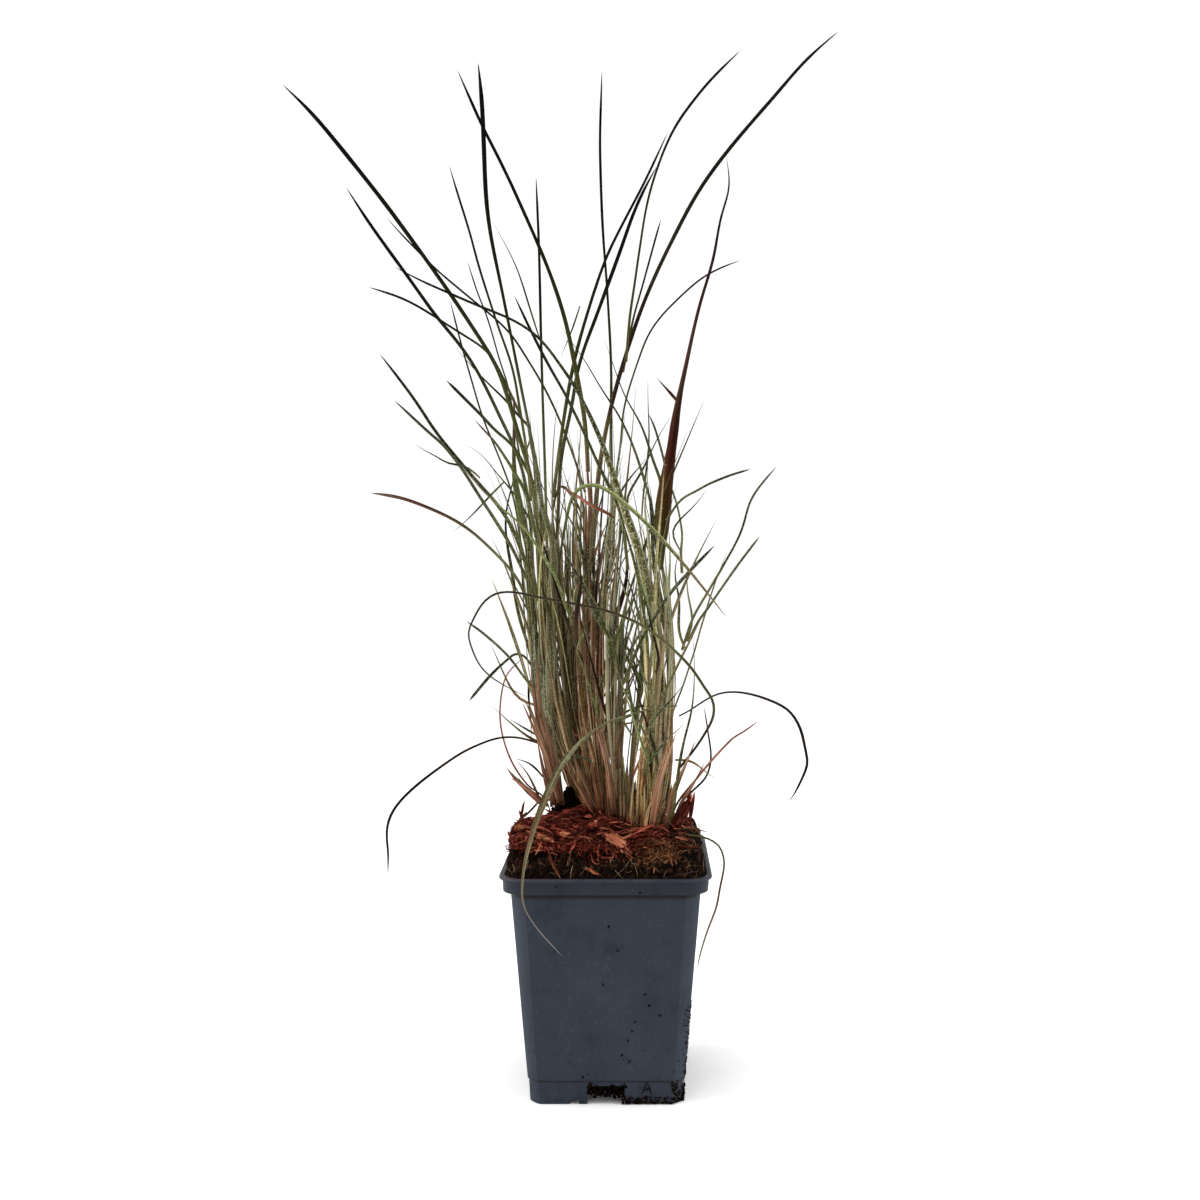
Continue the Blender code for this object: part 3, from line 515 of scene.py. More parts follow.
@dataclass(frozen=True)
class LeafFinish:
    """Leaf of a prairie grass: living or cured blade, or dry sheath.

    The eye sees fine veins along the leaf, a pale margin, a colour that changes
    from foot to tip or with height, strands that differ, stains, and on some the
    short pale hairs that lie across. Painted shade darkens one side of each strip,
    what lies high and the furrows between the veins, and the pale margin is partly
    a painted highlight.

    Attributes:
        name: the material's name.
        stops: places and hex colours, along the leaf or by a sheath's height.
        blade: the same by height for what lies past a sheath's collar, if any.
        vein: colour and strength of the pale veins.
        furrow_and_shade: colour and strength of the dark lines between them, partly the leaf's own
            colour and partly painted shade in the grooves.
        margin: colour and strength of the margins, partly the leaf's own pale edge and partly a
            painted highlight.
        stain: colour and strength of the stains.
        hair: strength of the hairs.
        top: brightness of what lies high, a painted shade for a blade dark against the light.
        sides: painted shade, the brightness of its left side and of its right.
        spacing: distance between veins, drawn as coarse as it needs to show.
        spread: how far leaves of this kind differ in brightness.
    """

    name: str
    stops: tuple[tuple[float, str], ...]
    blade: tuple[tuple[float, str], ...] = ()
    vein: tuple[str, float] = ("#8f8f6c", 0.45)
    furrow_and_shade: tuple[str, float] = ("#0d0c07", 0.6)
    margin: tuple[str, float] = ("#a9ab8c", 0.3)
    stain: tuple[str, float] = ("#3a2c1c", 0.3)
    hair: float = 0.3
    top: float = 0.5
    sides: tuple[float, float] = (1.25, 0.65)
    spacing: float = 0.6 * MM
    spread: float = 0.3

    def material(self) -> bpy.types.Material:
        """Makes the material.

        Returns:
            A material that reads the leaf's own grain and share attributes.
        """
        graph = Graph(self.name)
        share = graph.node("Attribute", {}, attribute_name="share")
        along, edge, tone = graph.node("SeparateXYZ", {0: share.outputs[1]}).outputs
        grain = graph.node("Attribute", {}, attribute_name="grain").outputs[1]
        seed = graph.node("SeparateXYZ", {0: grain}).outputs[2]
        spot = graph.node("TexCoord", {}).outputs["Object"]
        height = graph.node("SeparateXYZ", {0: spot}).outputs[2]
        drift = graph.noise(spot, 45.0, 2.0)
        drive = graph.span(height, (0.11, 0.36), (0.0, 1.0)) if self.blade else along
        drive = graph.math("ADD", graph.span(drift, (0.3, 0.7), (-0.05, 0.05)), drive)
        colour = graph.ramp(drive, list(self.stops))
        if self.blade:
            colour = graph.mix(along, colour, graph.ramp(drive, list(self.blade)), "MIX")
        tint = graph.ramp(
            seed,
            [(0.0, "#ffffff"), (0.22, "#cfe0b0"), (0.42, "#e4ccb2"), (0.62, "#f4f2e8"),
             (0.8, "#b8988a"), (1.0, "#dfe8c8")],
        )
        colour = graph.mix(1.0 if self.blade else 0.4, colour, tint, "MULTIPLY")
        streaks = (1 / self.spacing, 1 / (70 * self.spacing), 60.0)
        veins = graph.noise(graph.node("Mapping", {0: grain, 3: streaks}).outputs[0], 1.0, 3.0)
        strokes = (1.1 / MM, 1.5 / MM, 60.0)
        hairs = graph.noise(graph.node("Mapping", {0: grain, 3: strokes}).outputs[0], 1.0, 1.0)
        blotch = graph.noise(spot, 160.0, 4.0)
        # The pale marks fade above 0.25 m, a painted shade for blades dark against the light, and
        # are weaker near the foot of the clump.
        pale = graph.math(
            "MULTIPLY",
            graph.span(height, (0.34, 0.25), (0.0, 1.0)),
            graph.span(height, (0.115, 0.155), (0.3, 1.0)),
        )
        layers = (
            (graph.span(veins, (0.5, 0.64), (0.0, self.vein[1])), self.vein[0], True),
            # Dark lines between the veins: partly the leaf's own colour, partly painted shade in
            # the grooves that the bump makes.
            (graph.span(veins, (0.48, 0.36), (0.0, self.furrow_and_shade[1])), self.furrow_and_shade[0], False),
            (graph.span(blotch, (0.52, 0.68), (0.0, self.stain[1])), self.stain[0], False),
            # Pale margins: partly the leaf's own pale edge, partly a painted highlight along it.
            (graph.span(edge, (0.7, 0.95), (0.0, self.margin[1])), self.margin[0], True),
            (graph.span(hairs, (0.52, 0.62), (0.0, self.hair)), "#a9ab8c", True),
        )
        for strength, code, fades in layers:
            share = graph.math("MULTIPLY", strength, pale) if fades else strength
            colour = graph.mix(share, colour, linear(code), "MIX")
        # Painted shade: by sides, one side of each strip is lighter and the other darker, as if lit
        # from one side.
        side = graph.node("SeparateXYZ", {0: grain}).outputs[0]
        bright = graph.math(
            "MULTIPLY",
            graph.span(tone, (0.0, 1.0), (1 - self.spread, 1 + self.spread)),
            graph.span(side, (-0.8 * MM, 0.8 * MM), self.sides),
        )
        # Painted shade: what lies above 0.25 m darkens to top, as a blade seen dark against the
        # light.
        bright = graph.math("MULTIPLY", bright, graph.span(height, (0.25, 0.35), (1.0, self.top)))
        light = graph.node("CombineXYZ", {0: bright, 1: bright, 2: bright}).outputs[0]
        colour = graph.mix(1.0, colour, light, "MULTIPLY")
        rough = 0.8 if self.blade else 0.25
        bump = graph.node("Bump", {"Height": veins, "Strength": rough, "Distance": 0.0003})
        return graph.finish(
            Base_Color=colour,
            Roughness=0.6,
            Specular_IOR_Level=0.03,
            Normal=bump.outputs[0],
        )


@dataclass(frozen=True)
class MouldedPolypropylene:
    """Recycled polypropylene, injection moulded, satin, handled in a nursery.

    The eye sees a dark blue-grey with a faint grain, pale scuffs, and peat dust
    that gathers towards the foot. The band below the lip is darker, and a painted
    shadow runs just under it.
    """

    name: str = "moulded_polypropylene"
    base: str = "#222833"
    scuff: str = "#535964"
    dust: str = "#5a4a40"
    dirt_and_shade: str = "#0d0806"
    grit: float = 1.6 * MM

    def material(self) -> bpy.types.Material:
        """Makes the material.

        Returns:
            A material on Object coordinates.
        """
        graph = Graph(self.name)
        spot = graph.node("TexCoord", {}).outputs["Object"]
        cloud = graph.noise(spot, 38.0, 5.0)
        tint = [(0.3, "#191e2a"), (0.45, self.base), (0.58, "#262b36"), (0.7, "#2b2f38")]
        colour = graph.ramp(cloud, tint)
        fine = graph.noise(spot, 1 / self.grit, 4.0)
        specks = graph.noise(spot, 330.0, 5.0)
        height = graph.node("SeparateXYZ", {0: spot}).outputs[2]
        low = graph.span(height, (0.045, 0.0), (0.1, 0.8))
        rim = graph.span(height, (0.0992, 0.1), (0.0, 0.4))
        # The band below the lip is darkened.
        band = graph.span(height, (0.0929, 0.0932), (0.0, 0.3))
        lip = graph.span(height, (0.0984, 0.0988), (1.0, 0.0))
        # Painted shadow: a dark line just under the band, where it stands out from the wall.
        under = graph.math(
            "MULTIPLY",
            graph.span(height, (0.0900, 0.0914), (0.0, 0.9)),
            graph.span(height, (0.0932, 0.0931), (0.0, 1.0)),
        )
        seam = graph.math(
            "MULTIPLY",
            graph.span(height, (0.0094, 0.0099), (0.0, 0.7)),
            graph.span(height, (0.0109, 0.0103), (0.0, 1.0)),
        )
        layers = (
            (graph.span(fine, (0.58, 0.72), (0.0, 0.2)), self.scuff),
            (graph.span(specks, (0.68, 0.76), (0.0, 0.2)), self.scuff),
            (graph.math("MULTIPLY", graph.span(specks, (0.42, 0.3), (0.0, 1.0)), low), self.dirt_and_shade),
            (graph.math("MULTIPLY", band, lip), self.dirt_and_shade),
            (under, self.dirt_and_shade),
            (seam, self.dirt_and_shade),
            (graph.math("MULTIPLY", graph.span(cloud, (0.4, 0.6), (0.2, 1.0)), rim), self.dust),
        )
        for strength, code in layers:
            colour = graph.mix(strength, colour, linear(code), "MIX")
        rough = graph.span(fine, (0.3, 0.7), (0.42, 0.6))
        bump = graph.node("Bump", {"Height": fine, "Strength": 0.25, "Distance": 0.0002})
        return graph.finish(
            Base_Color=colour,
            Roughness=rough,
            IOR=1.49,
            Specular_IOR_Level=0.15,
            Normal=bump.outputs[0],
        )


@dataclass(frozen=True)
class LooseMatter:
    """Peat compost, shredded bark or plant litter, dull and uneven.

    The eye sees small patches of light and dark with no gloss.

    Attributes:
        name: the material's name.
        stops: places and hex colours that the patches run through.
        patch: real size of a patch in metres.
        stretch: how much longer a patch is along the piece than across.
        on_grain: whether patches follow the piece's own grain.
        roughness: the shader's roughness.
        depth: height of the bump in metres.
    """

    name: str
    stops: tuple[tuple[float, str], ...]
    patch: float = 2 * MM
    stretch: float = 1.0
    on_grain: bool = False
    roughness: float = 0.9
    depth: float = 0.6 * MM

    def material(self) -> bpy.types.Material:
        """Makes the material.

        Returns:
            A material on the piece's grain attribute or on Object coordinates.
        """
        graph = Graph(self.name)
        if self.on_grain:
            base = graph.node("Attribute", {}, attribute_name="grain").outputs[1]
        else:
            base = graph.node("TexCoord", {}).outputs["Object"]
        far = 1 / self.patch
        depth_scale = 9000.0 if self.on_grain else far
        scales = (far, far / self.stretch, depth_scale)
        noise = graph.noise(graph.node("Mapping", {0: base, 3: scales}).outputs[0], 1.0, 5.0)
        colour = graph.ramp(noise, list(self.stops))
        share = graph.node("Attribute", {}, attribute_name="share")
        tone = graph.node("SeparateXYZ", {0: share.outputs[1]}).outputs[2]
        bright = graph.span(tone, (0.0, 1.0), (0.2, 1.8))
        light = graph.node("CombineXYZ", {0: bright, 1: bright, 2: bright}).outputs[0]
        colour = graph.mix(1.0, colour, light, "MULTIPLY")
        bump = graph.node("Bump", {"Height": noise, "Strength": 0.8, "Distance": self.depth})
        return graph.finish(
            Base_Color=colour,
            Roughness=self.roughness,
            Specular_IOR_Level=0.03,
            Normal=bump.outputs[0],
        )


GREEN = LeafFinish(
    "living_grass_blade",
    ((0.0, "#625c30"), (0.2, "#4a4c1c"), (0.4, "#333a12"), (0.6, "#1d210d"), (0.78, "#0d0e09"),
     (1.0, "#050505")),
)
LIGHT_GREEN = LeafFinish(
    "young_grass_blade",
    ((0.0, "#4f4a22"), (0.3, "#46541a"), (0.7, "#5c6434"), (0.85, "#5e4c38"), (1.0, "#54352f")),
)
PALE = LeafFinish(
    "hairy_grass_blade",
    ((0.0, "#5d5834"), (0.3, "#56552f"), (0.42, "#33361a"), (0.7, "#1d200f"), (1.0, "#0c0d0a")),
    margin=("#b9bb9c", 0.6),
    vein=("#9a9c7a", 0.5),
    hair=0.8,
)
HAIRY = LeafFinish(
    "pale_hairy_grass_blade",
    ((0.0, "#7d6a4c"), (0.3, "#827a58"), (0.55, "#75744f"), (0.75, "#4c4e2e"), (1.0, "#1e2012")),
    margin=("#c5c5aa", 0.6),
    vein=("#b4b292", 0.5),
    hair=0.8,
)
FLUSHED = LeafFinish(
    "red_tipped_grass_blade",
    ((0.0, "#54552c"), (0.4, "#484a26"), (0.62, "#503a2a"), (0.85, "#552d28"), (1.0, "#4a2424")),
    hair=0.1,
)
PURPLE = LeafFinish(
    "cured_purple_blade",
    ((0.0, "#4c3f2c"), (0.3, "#241a14"), (0.6, "#140d0d"), (1.0, "#070606")),
    vein=("#5c463a", 0.35),
    margin=("#6a5648", 0.2),
    hair=0.0,
)
DARK_RED = LeafFinish(
    "cured_dark_red_blade",
    ((0.0, "#4c4824"), (0.06, "#3e3a18"), (0.12, "#382e14"), (0.2, "#3a250d"), (0.27, "#36150a"),
     (0.34, "#300f09"), (0.42, "#38241a"),
     (0.55, "#3a241e"), (0.7, "#2b0f13"), (0.85, "#170a0d"), (1.0, "#0c0a0b")),
    vein=("#5e3626", 0.35),
    margin=("#5f4636", 0.15),
    hair=0.0,
    top=0.9,
)
ARCHED = LeafFinish(
    "arched_purple_blade",
    ((0.0, "#1a1214"), (0.1, "#221a18"), (0.17, "#42422a"), (0.42, "#403e22"), (0.56, "#2e1c18"),
     (0.75, "#1a1014"), (1.0, "#161016")),
    vein=("#8f8a66", 0.25),
    hair=0.0,
)
MIXED = LeafFinish(
    "partly_cured_blade",
    ((0.0, "#6b5c3e"), (0.14, "#6b5a3c"), (0.19, "#2e130b"), (0.31, "#240d08"), (0.37, "#2a1a10"),
     (0.43, "#393622"), (0.62, "#1f2014"), (1.0, "#090909")),
)
BRICK = LeafFinish(
    "dry_brick_red_blade",
    ((0.0, "#54301e"), (0.3, "#885244"), (0.6, "#a87264"), (1.0, "#785048")),
    vein=("#94695a", 0.4),
    margin=("#8b6757", 0.25),
    stain=("#240f0a", 0.4),
    hair=0.0,
)
AGEING = LeafFinish(
    "ageing_grass_blade",
    ((0.0, "#4c4024"), (0.25, "#4c4428"), (0.42, "#544626"), (0.58, "#645034"), (0.7, "#7a6a4c"),
     (0.85, "#857a66"), (1.0, "#a29c92")),
    vein=("#a3a282", 0.6),
    hair=0.3,
)
DEAD = LeafFinish(
    "dead_pink_brown_sheath",
    ((0.0, "#633822"), (0.3, "#875b43"), (0.7, "#98725a"), (1.0, "#7e5a46")),
    vein=("#b8957c", 0.7),
    furrow_and_shade=("#2c120a", 0.8),
    margin=("#c2a48c", 0.4),
    stain=("#4a2114", 0.5),
    hair=0.0,
    sides=(1.3, 0.5),
    spread=0.4,
)
INNER_BLADE = ((0.0, "#6f5a28"), (0.2, "#5e5c2a"), (0.4, "#505628"), (0.6, "#3a4018"),
               (1.0, "#16190d"))
STRAW_SHEATH = LeafFinish(
    "dry_straw_sheath",
    ((0.0, "#5a2409"), (0.06, "#76431f"), (0.15, "#845f3e"), (0.3, "#7f6e4e"), (0.5, "#736e4a"),
     (0.75, "#585b2c"), (1.0, "#3a3e1f")),
    INNER_BLADE,
    vein=("#b09c74", 0.7),
    furrow_and_shade=("#241006", 0.9),
    margin=("#bcac84", 0.45),
    stain=("#4a2412", 0.45),
    hair=0.35,
    sides=(1.35, 0.6),
    spacing=0.75 * MM,
    spread=0.42,
)
PALE_SHEATH = LeafFinish(
    "pale_green_sheath",
    ((0.0, "#642d0f"), (0.06, "#805330"), (0.17, "#907652"), (0.35, "#918a64"), (0.5, "#81805a"),
     (0.7, "#5e6634"), (1.0, "#3d4426")),
    INNER_BLADE,
    vein=("#c3bc9c", 0.7),
    furrow_and_shade=("#2c1d0c", 0.85),
    margin=("#cdc8ac", 0.5),
    stain=("#50301a", 0.35),
    hair=0.5,
    sides=(1.45, 0.6),
    spacing=0.75 * MM,
    spread=0.5,
)
RED_SHEATH = LeafFinish(
    "red_flushed_sheath",
    ((0.0, "#4c1a0a"), (0.08, "#6b3319"), (0.25, "#7d593f"), (0.4, "#6c4a36"), (0.48, "#5a3428"),
     (0.6, "#5c4a2a"), (1.0, "#35361a")),
    INNER_BLADE,
    vein=("#a98568", 0.6),
    furrow_and_shade=("#200a05", 0.9),
    margin=("#ac9074", 0.35),
    stain=("#4a1712", 0.5),
    hair=0.25,
    sides=(1.3, 0.6),
    spacing=0.75 * MM,
    spread=0.5,
)
PEAT = LooseMatter(
    "peat_compost",
    ((0.35, "#040201"), (0.5, "#0d0704"), (0.6, "#21140d"), (0.72, "#4a3225")),
    patch=2.0 * MM,
)
CRUMBS = LooseMatter(
    "peat_crumbs",
    ((0.3, "#060302"), (0.5, "#120a06"), (0.65, "#2c1c13"), (0.8, "#543c2e")),
    patch=1.2 * MM,
)
BARK = LooseMatter(
    "shredded_pine_bark",
    ((0.3, "#381208"), (0.42, "#663020"), (0.52, "#8e543c"), (0.64, "#b0785a"), (0.8, "#d2a88c")),
    patch=0.8 * MM,
    stretch=9,
    on_grain=True,
    depth=0.3 * MM,
)
FIBRE = LooseMatter(
    "bark_fibre",
    ((0.34, "#1a0504"), (0.46, "#42130d"), (0.55, "#6c2e22"), (0.66, "#99594a"), (0.78, "#c49c8c")),
    patch=0.7 * MM,
    stretch=10,
    on_grain=True,
    depth=0.3 * MM,
)
LITTER = LooseMatter(
    "pale_bark_fibre",
    ((0.3, "#2a140a"), (0.5, "#5e3a22"), (0.65, "#8e6648"), (0.8, "#bd9c82")),
    patch=0.6 * MM,
    stretch=6,
    on_grain=True,
    depth=0.2 * MM,
)
ROOTS = LooseMatter(
    "fine_grass_roots",
    ((0.3, "#2c1e14"), (0.5, "#6b5440"), (0.75, "#a8937c")),
    patch=1 * MM,
    stretch=6,
    on_grain=True,
    depth=0.1 * MM,
)
HAIRS = LooseMatter(
    "silvery_leaf_hairs",
    ((0.2, "#8f9276"), (0.8, "#b9bba2")),
    patch=1 * MM,
    on_grain=True,
    roughness=0.6,
    depth=0.05 * MM,
)


FINISHES = {
    "green": GREEN,
    "light": LIGHT_GREEN,
    "pale_blade": PALE,
    "purple": PURPLE,
    "dark_red": DARK_RED,
    "brick": BRICK,
    "hairy": HAIRY,
    "arched": ARCHED,
    "flushed": FLUSHED,
    "mixed": MIXED,
    "ageing": AGEING,
    "dead": DEAD,
    "straw": STRAW_SHEATH,
    "pale": PALE_SHEATH,
    "red": RED_SHEATH,
    "peat": PEAT,
    "crumbs": CRUMBS,
    "bark": BARK,
    "fibre": FIBRE,
    "litter": LITTER,
    "roots": ROOTS,
    "hairs": HAIRS,
    "plastic": MouldedPolypropylene(),
}


class Palette:
    """Makes each finish's material once, when it is first asked for."""

    def __init__(self) -> None:
        """Starts with nothing made."""
        self.made: dict[str, bpy.types.Material] = {}

    def __getitem__(self, key: str) -> bpy.types.Material:
        """Gives the material of a finish's key."""
        if key not in self.made:
            self.made[key] = FINISHES[key].material()
        return self.made[key]


PALETTE = Palette()


# Leaf surfaces


@dataclass(frozen=True)
class LeafForm:
    """Cross-section of a leaf: a folded or curved strip with a thick middle.

    Attributes:
        columns: points across one face.
        fold: depth of the keel as a share of the half-width.
        thickness: thickness at the keel, in metres.
        ripple: sideways waviness as a share of the half-width.
    """

    columns: int = 7
    fold: float = 0.5
    thickness: float = 0.3 * MM
    ripple: float = 0.05

    def surface(
        self,
        middle: Array,
        across: Array,
        keel: Array,
        half: Array,
        tone: float,
        seed: int,
        along: Array | None = None,
    ) -> Surface:
        """Carries the section along a line and closes it at a point.

        A point of the section is the middle, plus across times half-width times u,
        plus keel times the fold times one less the power 1.4 of u without its sign,
        plus or minus half the thickness, which falls with the square of u.

        Args:
            middle: rows of the middle between the margins, foot to tip.
            across: unit rows from the left margin to the right.
            keel: unit rows towards the keel.
            half: half-width at each row.
            tone: brightness from 0 to 1.
            seed: picks its ripples and grain.
            along: first share of each row, else the place from foot to tip.

        Returns:
            The closed surface.
        """
        tangent = np.gradient(middle, axis=0)
        if (np.cross(across, keel) * tangent).sum() < 0:
            across = -across
        u = np.linspace(-1, 1, self.columns)
        u = np.sign(u) * np.abs(u) ** 0.85
        loop = np.concatenate([u, u[-2:0:-1]])
        side = np.concatenate([np.ones(len(u)), -np.ones(len(u) - 2)])
        run = np.concatenate([[0], np.cumsum(np.linalg.norm(np.diff(middle, axis=0), axis=1))])
        wave = value_noise(
            np.stack([run / (9 * MM), np.full(len(run), seed * 7.3), run * 0], 1), 1.0, seed
        )
        rim = (half * (1 + self.ripple * wave))[:, None, None]
        lift = (self.fold * (1 - np.abs(loop) ** 1.4))[None, :, None]
        thin = 0.5 * self.thickness * (1 - 0.8 * loop**2) * side
        room = np.minimum(1, half / (0.5 * MM))[:, None]
        body = (
            middle[:, None]
            + across[:, None] * rim * loop[None, :, None]
            + keel[:, None] * rim * lift
            + keel[:, None] * (thin[None] * room)[..., None] * -1
        )
        rings, around = body.shape[:2]
        tip = middle[-1] + (middle[-1] - middle[-2]) * 0.5
        points = np.concatenate([body.reshape(-1, 3), tip[None]])
        width = np.outer(half, loop).ravel()
        hue = np.full(len(width), seed * 0.6180339 % 1.0)
        grain = np.stack([width, np.repeat(run, around), hue], 1)
        share = np.stack(
            [
                np.repeat(run / run[-1] if along is None else along, around),
                np.tile(np.abs(loop), rings),
                np.full(len(width), tone),
            ],
            1,
        )
        grain = np.concatenate([grain, grain[-1:]])
        share = np.concatenate([share, share[-1:]])
        return Surface(points, tube_faces(rings, around, True), grain, share, around)


def taper(share: Array, start: float, power: float) -> Array:
    """Narrows from one at start to nothing at the tip, by a power."""
    return np.clip((1 - share) / (1 - start), 0.0, 1) ** power


@dataclass(frozen=True)
class Route:
    """A leaf followed by pixels of the picture.

    Attributes:
        pixels: columns and rows from foot to tip.
        width: its width in pixels near its foot, or its widths at even places.
        kind: key of its finish.
        lean: how far its tip lies in front of its foot, in millimetres.
        lift: how far its foot lies in front of the stem behind it, in millimetres.
        rooted: whether it is led down into a bundle that is near its foot.
        strands: how many leaves follow it side by side.
        back: how far back its foot lies, in millimetres, if that isn't read from
            the bundle behind it.
    """

    pixels: Pixels
    width: float | tuple[float, ...] = 3.2
    kind: str = "green"
    lean: float = 6.0
    lift: float = 3.0
    rooted: bool = True
    strands: int = 1
    back: float | None = None


class LeafMaker:
    """Builds leaf surfaces from rings of solids, routes and lines."""

    def __init__(self, view: PictureView) -> None:
        """Keeps the view that places routes.

        Args:
            view: the photograph's view.
        """
        self.view = view

    @staticmethod
    def frame(middle: Array, facing: Array) -> tuple[Array, Array]:
        """Sets a strip's across and keel directions.

        Args:
            middle: rows of its middle line.
            facing: rows of the direction that its face looks to.

        Returns:
            Unit rows across, and unit rows towards the keel.
        """
        tangent = unit(np.gradient(middle, axis=0))
        across = unit(np.cross(tangent, facing))
        keel = unit(np.cross(tangent, across))
        keel = np.where((keel * facing).sum(1, keepdims=True) > 0, -keel, keel)
        return across, keel

    def along_route(
        self,
        route: Route,
        depth: Array,
        seed: int,
        form: LeafForm,
        twist: float,
        root: Array | None = None,
    ) -> Surface:
        """Builds a leaf along a route of pixels.

        Args:
            route: the route.
            depth: depth of each of its points, in metres.
            seed: picks its tone, ripples and grain.
            form: its cross-section.
            twist: how far it turns from foot to tip, in radians.
            root: row of a point that it starts from, before the route, if any.

        Returns:
            Its surface.
        """
        rng = np.random.default_rng(seed)
        knots = self.view.points(np.array(route.pixels, float), depth)
        line = SmoothPath(knots if root is None else np.concatenate([root, knots]))
        count = int(np.clip(line.length / (3 * MM), 12, 70))
        share = np.linspace(0, 1, count)
        middle = line.at(share)
        scale = 0.5 / 1300 * (depth.mean() - self.view.eye[1])
        if isinstance(route.width, tuple):
            wide = np.interp(share, np.linspace(0, 1, len(route.width)), route.width)
        else:
            wide = route.width * (0.8 + 0.3 * np.sin(np.pi * share**0.7)) * taper(share, 0.35, 0.75)
        half = scale * wide
        turn = rng.uniform(-0.5, 0.5) + twist * share
        facing = np.stack([np.sin(turn), -np.cos(turn), np.full(count, 0.15)], 1)
        across, keel = self.frame(middle, facing)
        return form.surface(middle, across, keel, half, rng.uniform(0.25, 0.8), seed)


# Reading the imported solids


def merged(solid: bpy.types.Object) -> tuple[Array, Array]:
    """Merges a solid's loose triangles.

    Args:
        solid: the solid's object.

    Returns:
        Its points, and its triangles as rows of point numbers.
    """
    mesh = solid.data
    points = np.zeros(len(mesh.vertices) * 3)
    mesh.vertices.foreach_get("co", points)
    points = points.reshape(-1, 3)
    _, first, back = np.unique(
        np.round(points * 1e6).astype(np.int64), axis=0, return_index=True, return_inverse=True
    )
    corners = np.array([list(p.vertices) for p in mesh.polygons])
    return points[first], back.ravel()[corners]


class SolidLeaf:
    """A packed leaf solid read as rings of two margins and a keel."""

    def __init__(self, solid: bpy.types.Object) -> None:
        """Walks the solid's points from its tip, one ring at a time.

        Args:
            solid: the solid's object.
        """
        points, triangles = merged(solid)
        count = len(points)
        touching = np.zeros((count, count), bool)
        for a, b in ((0, 1), (1, 2), (2, 0)):
            touching[triangles[:, a], triangles[:, b]] = True
            touching[triangles[:, b], triangles[:, a]] = True
        self.rings: list[Array] = []
        for tip in np.flatnonzero(touching.sum(1) == 3):
            seen = np.zeros(count, bool)
            seen[tip] = True
            front, rings = touching[tip], []
            while front.any():
                rings.append(np.flatnonzero(front))
                seen |= front
                front = touching[front].any(0) & ~seen
            if all(len(ring) == 3 for ring in rings):
                self.tip, self.rings = points[tip], [points[r] for r in rings[::-1]]
                break
        if not self.rings:
            raise ValueError(f"{solid.name} has no rings")

    def rows(self) -> Array:
        """Orders each ring's points.

        Returns:
            Rows of left margin, right margin and keel, foot to tip, nine columns.
        """
        first = self.rings[0]
        widest = int(np.argmax(np.linalg.norm(first - np.roll(first, -1, 0), axis=1)))
        last = np.roll(first, -widest, 0)
        rows = []
        for ring in self.rings:
            shape = last - last.mean(0)
            orders = [ring[list(order)] for order in permutations(range(3))]
            last = min(orders, key=lambda o: float(((o - o.mean(0) - shape) ** 2).sum()))
            rows.append(last.ravel())
        return np.array(rows)

    def surface(
        self, form: LeafForm, tone: float, seed: int, slim: tuple[float, ...]
    ) -> Surface:
        """Dresses the solid as a thin leaf on the same line.

        Args:
            form: the leaf's cross-section.
            tone: brightness from 0 to 1.
            seed: picks its ripples and grain.
            slim: its width as shares of the solid's, at even places from foot to tip.

        Returns:
            The leaf's surface.
        """
        rows = self.rows()
        middle = (rows[:, :3] + rows[:, 3:6]) / 2
        last = np.concatenate([self.tip, rows[-1, 3:6] - rows[-1, :3], rows[-1, 6:] - middle[-1]])
        table = np.concatenate(
            [middle, rows[:, 3:6] - rows[:, :3], rows[:, 6:] - middle], axis=1
        )
        path = SmoothPath(np.concatenate([table, last[None]]))
        count = int(np.clip(path.length / (2.5 * MM), 24, 150))
        share = np.linspace(0, 1, count)
        line = path.at(share)
        across = unit(line[:, 3:6])
        tangent = unit(np.gradient(line[:, :3], axis=0))
        keel = line[:, 6:9] - (line[:, 6:9] * across).sum(1, keepdims=True) * across
        keel = unit(keel - (keel * tangent).sum(1, keepdims=True) * tangent)
        half = np.linalg.norm(line[:, 3:6], axis=1) / 2 * taper(share, 0.92, 0.7)
        half *= np.interp(share, np.linspace(0, 1, len(slim)), slim)
        return form.surface(line[:, :3], across, keel, half, tone, seed)


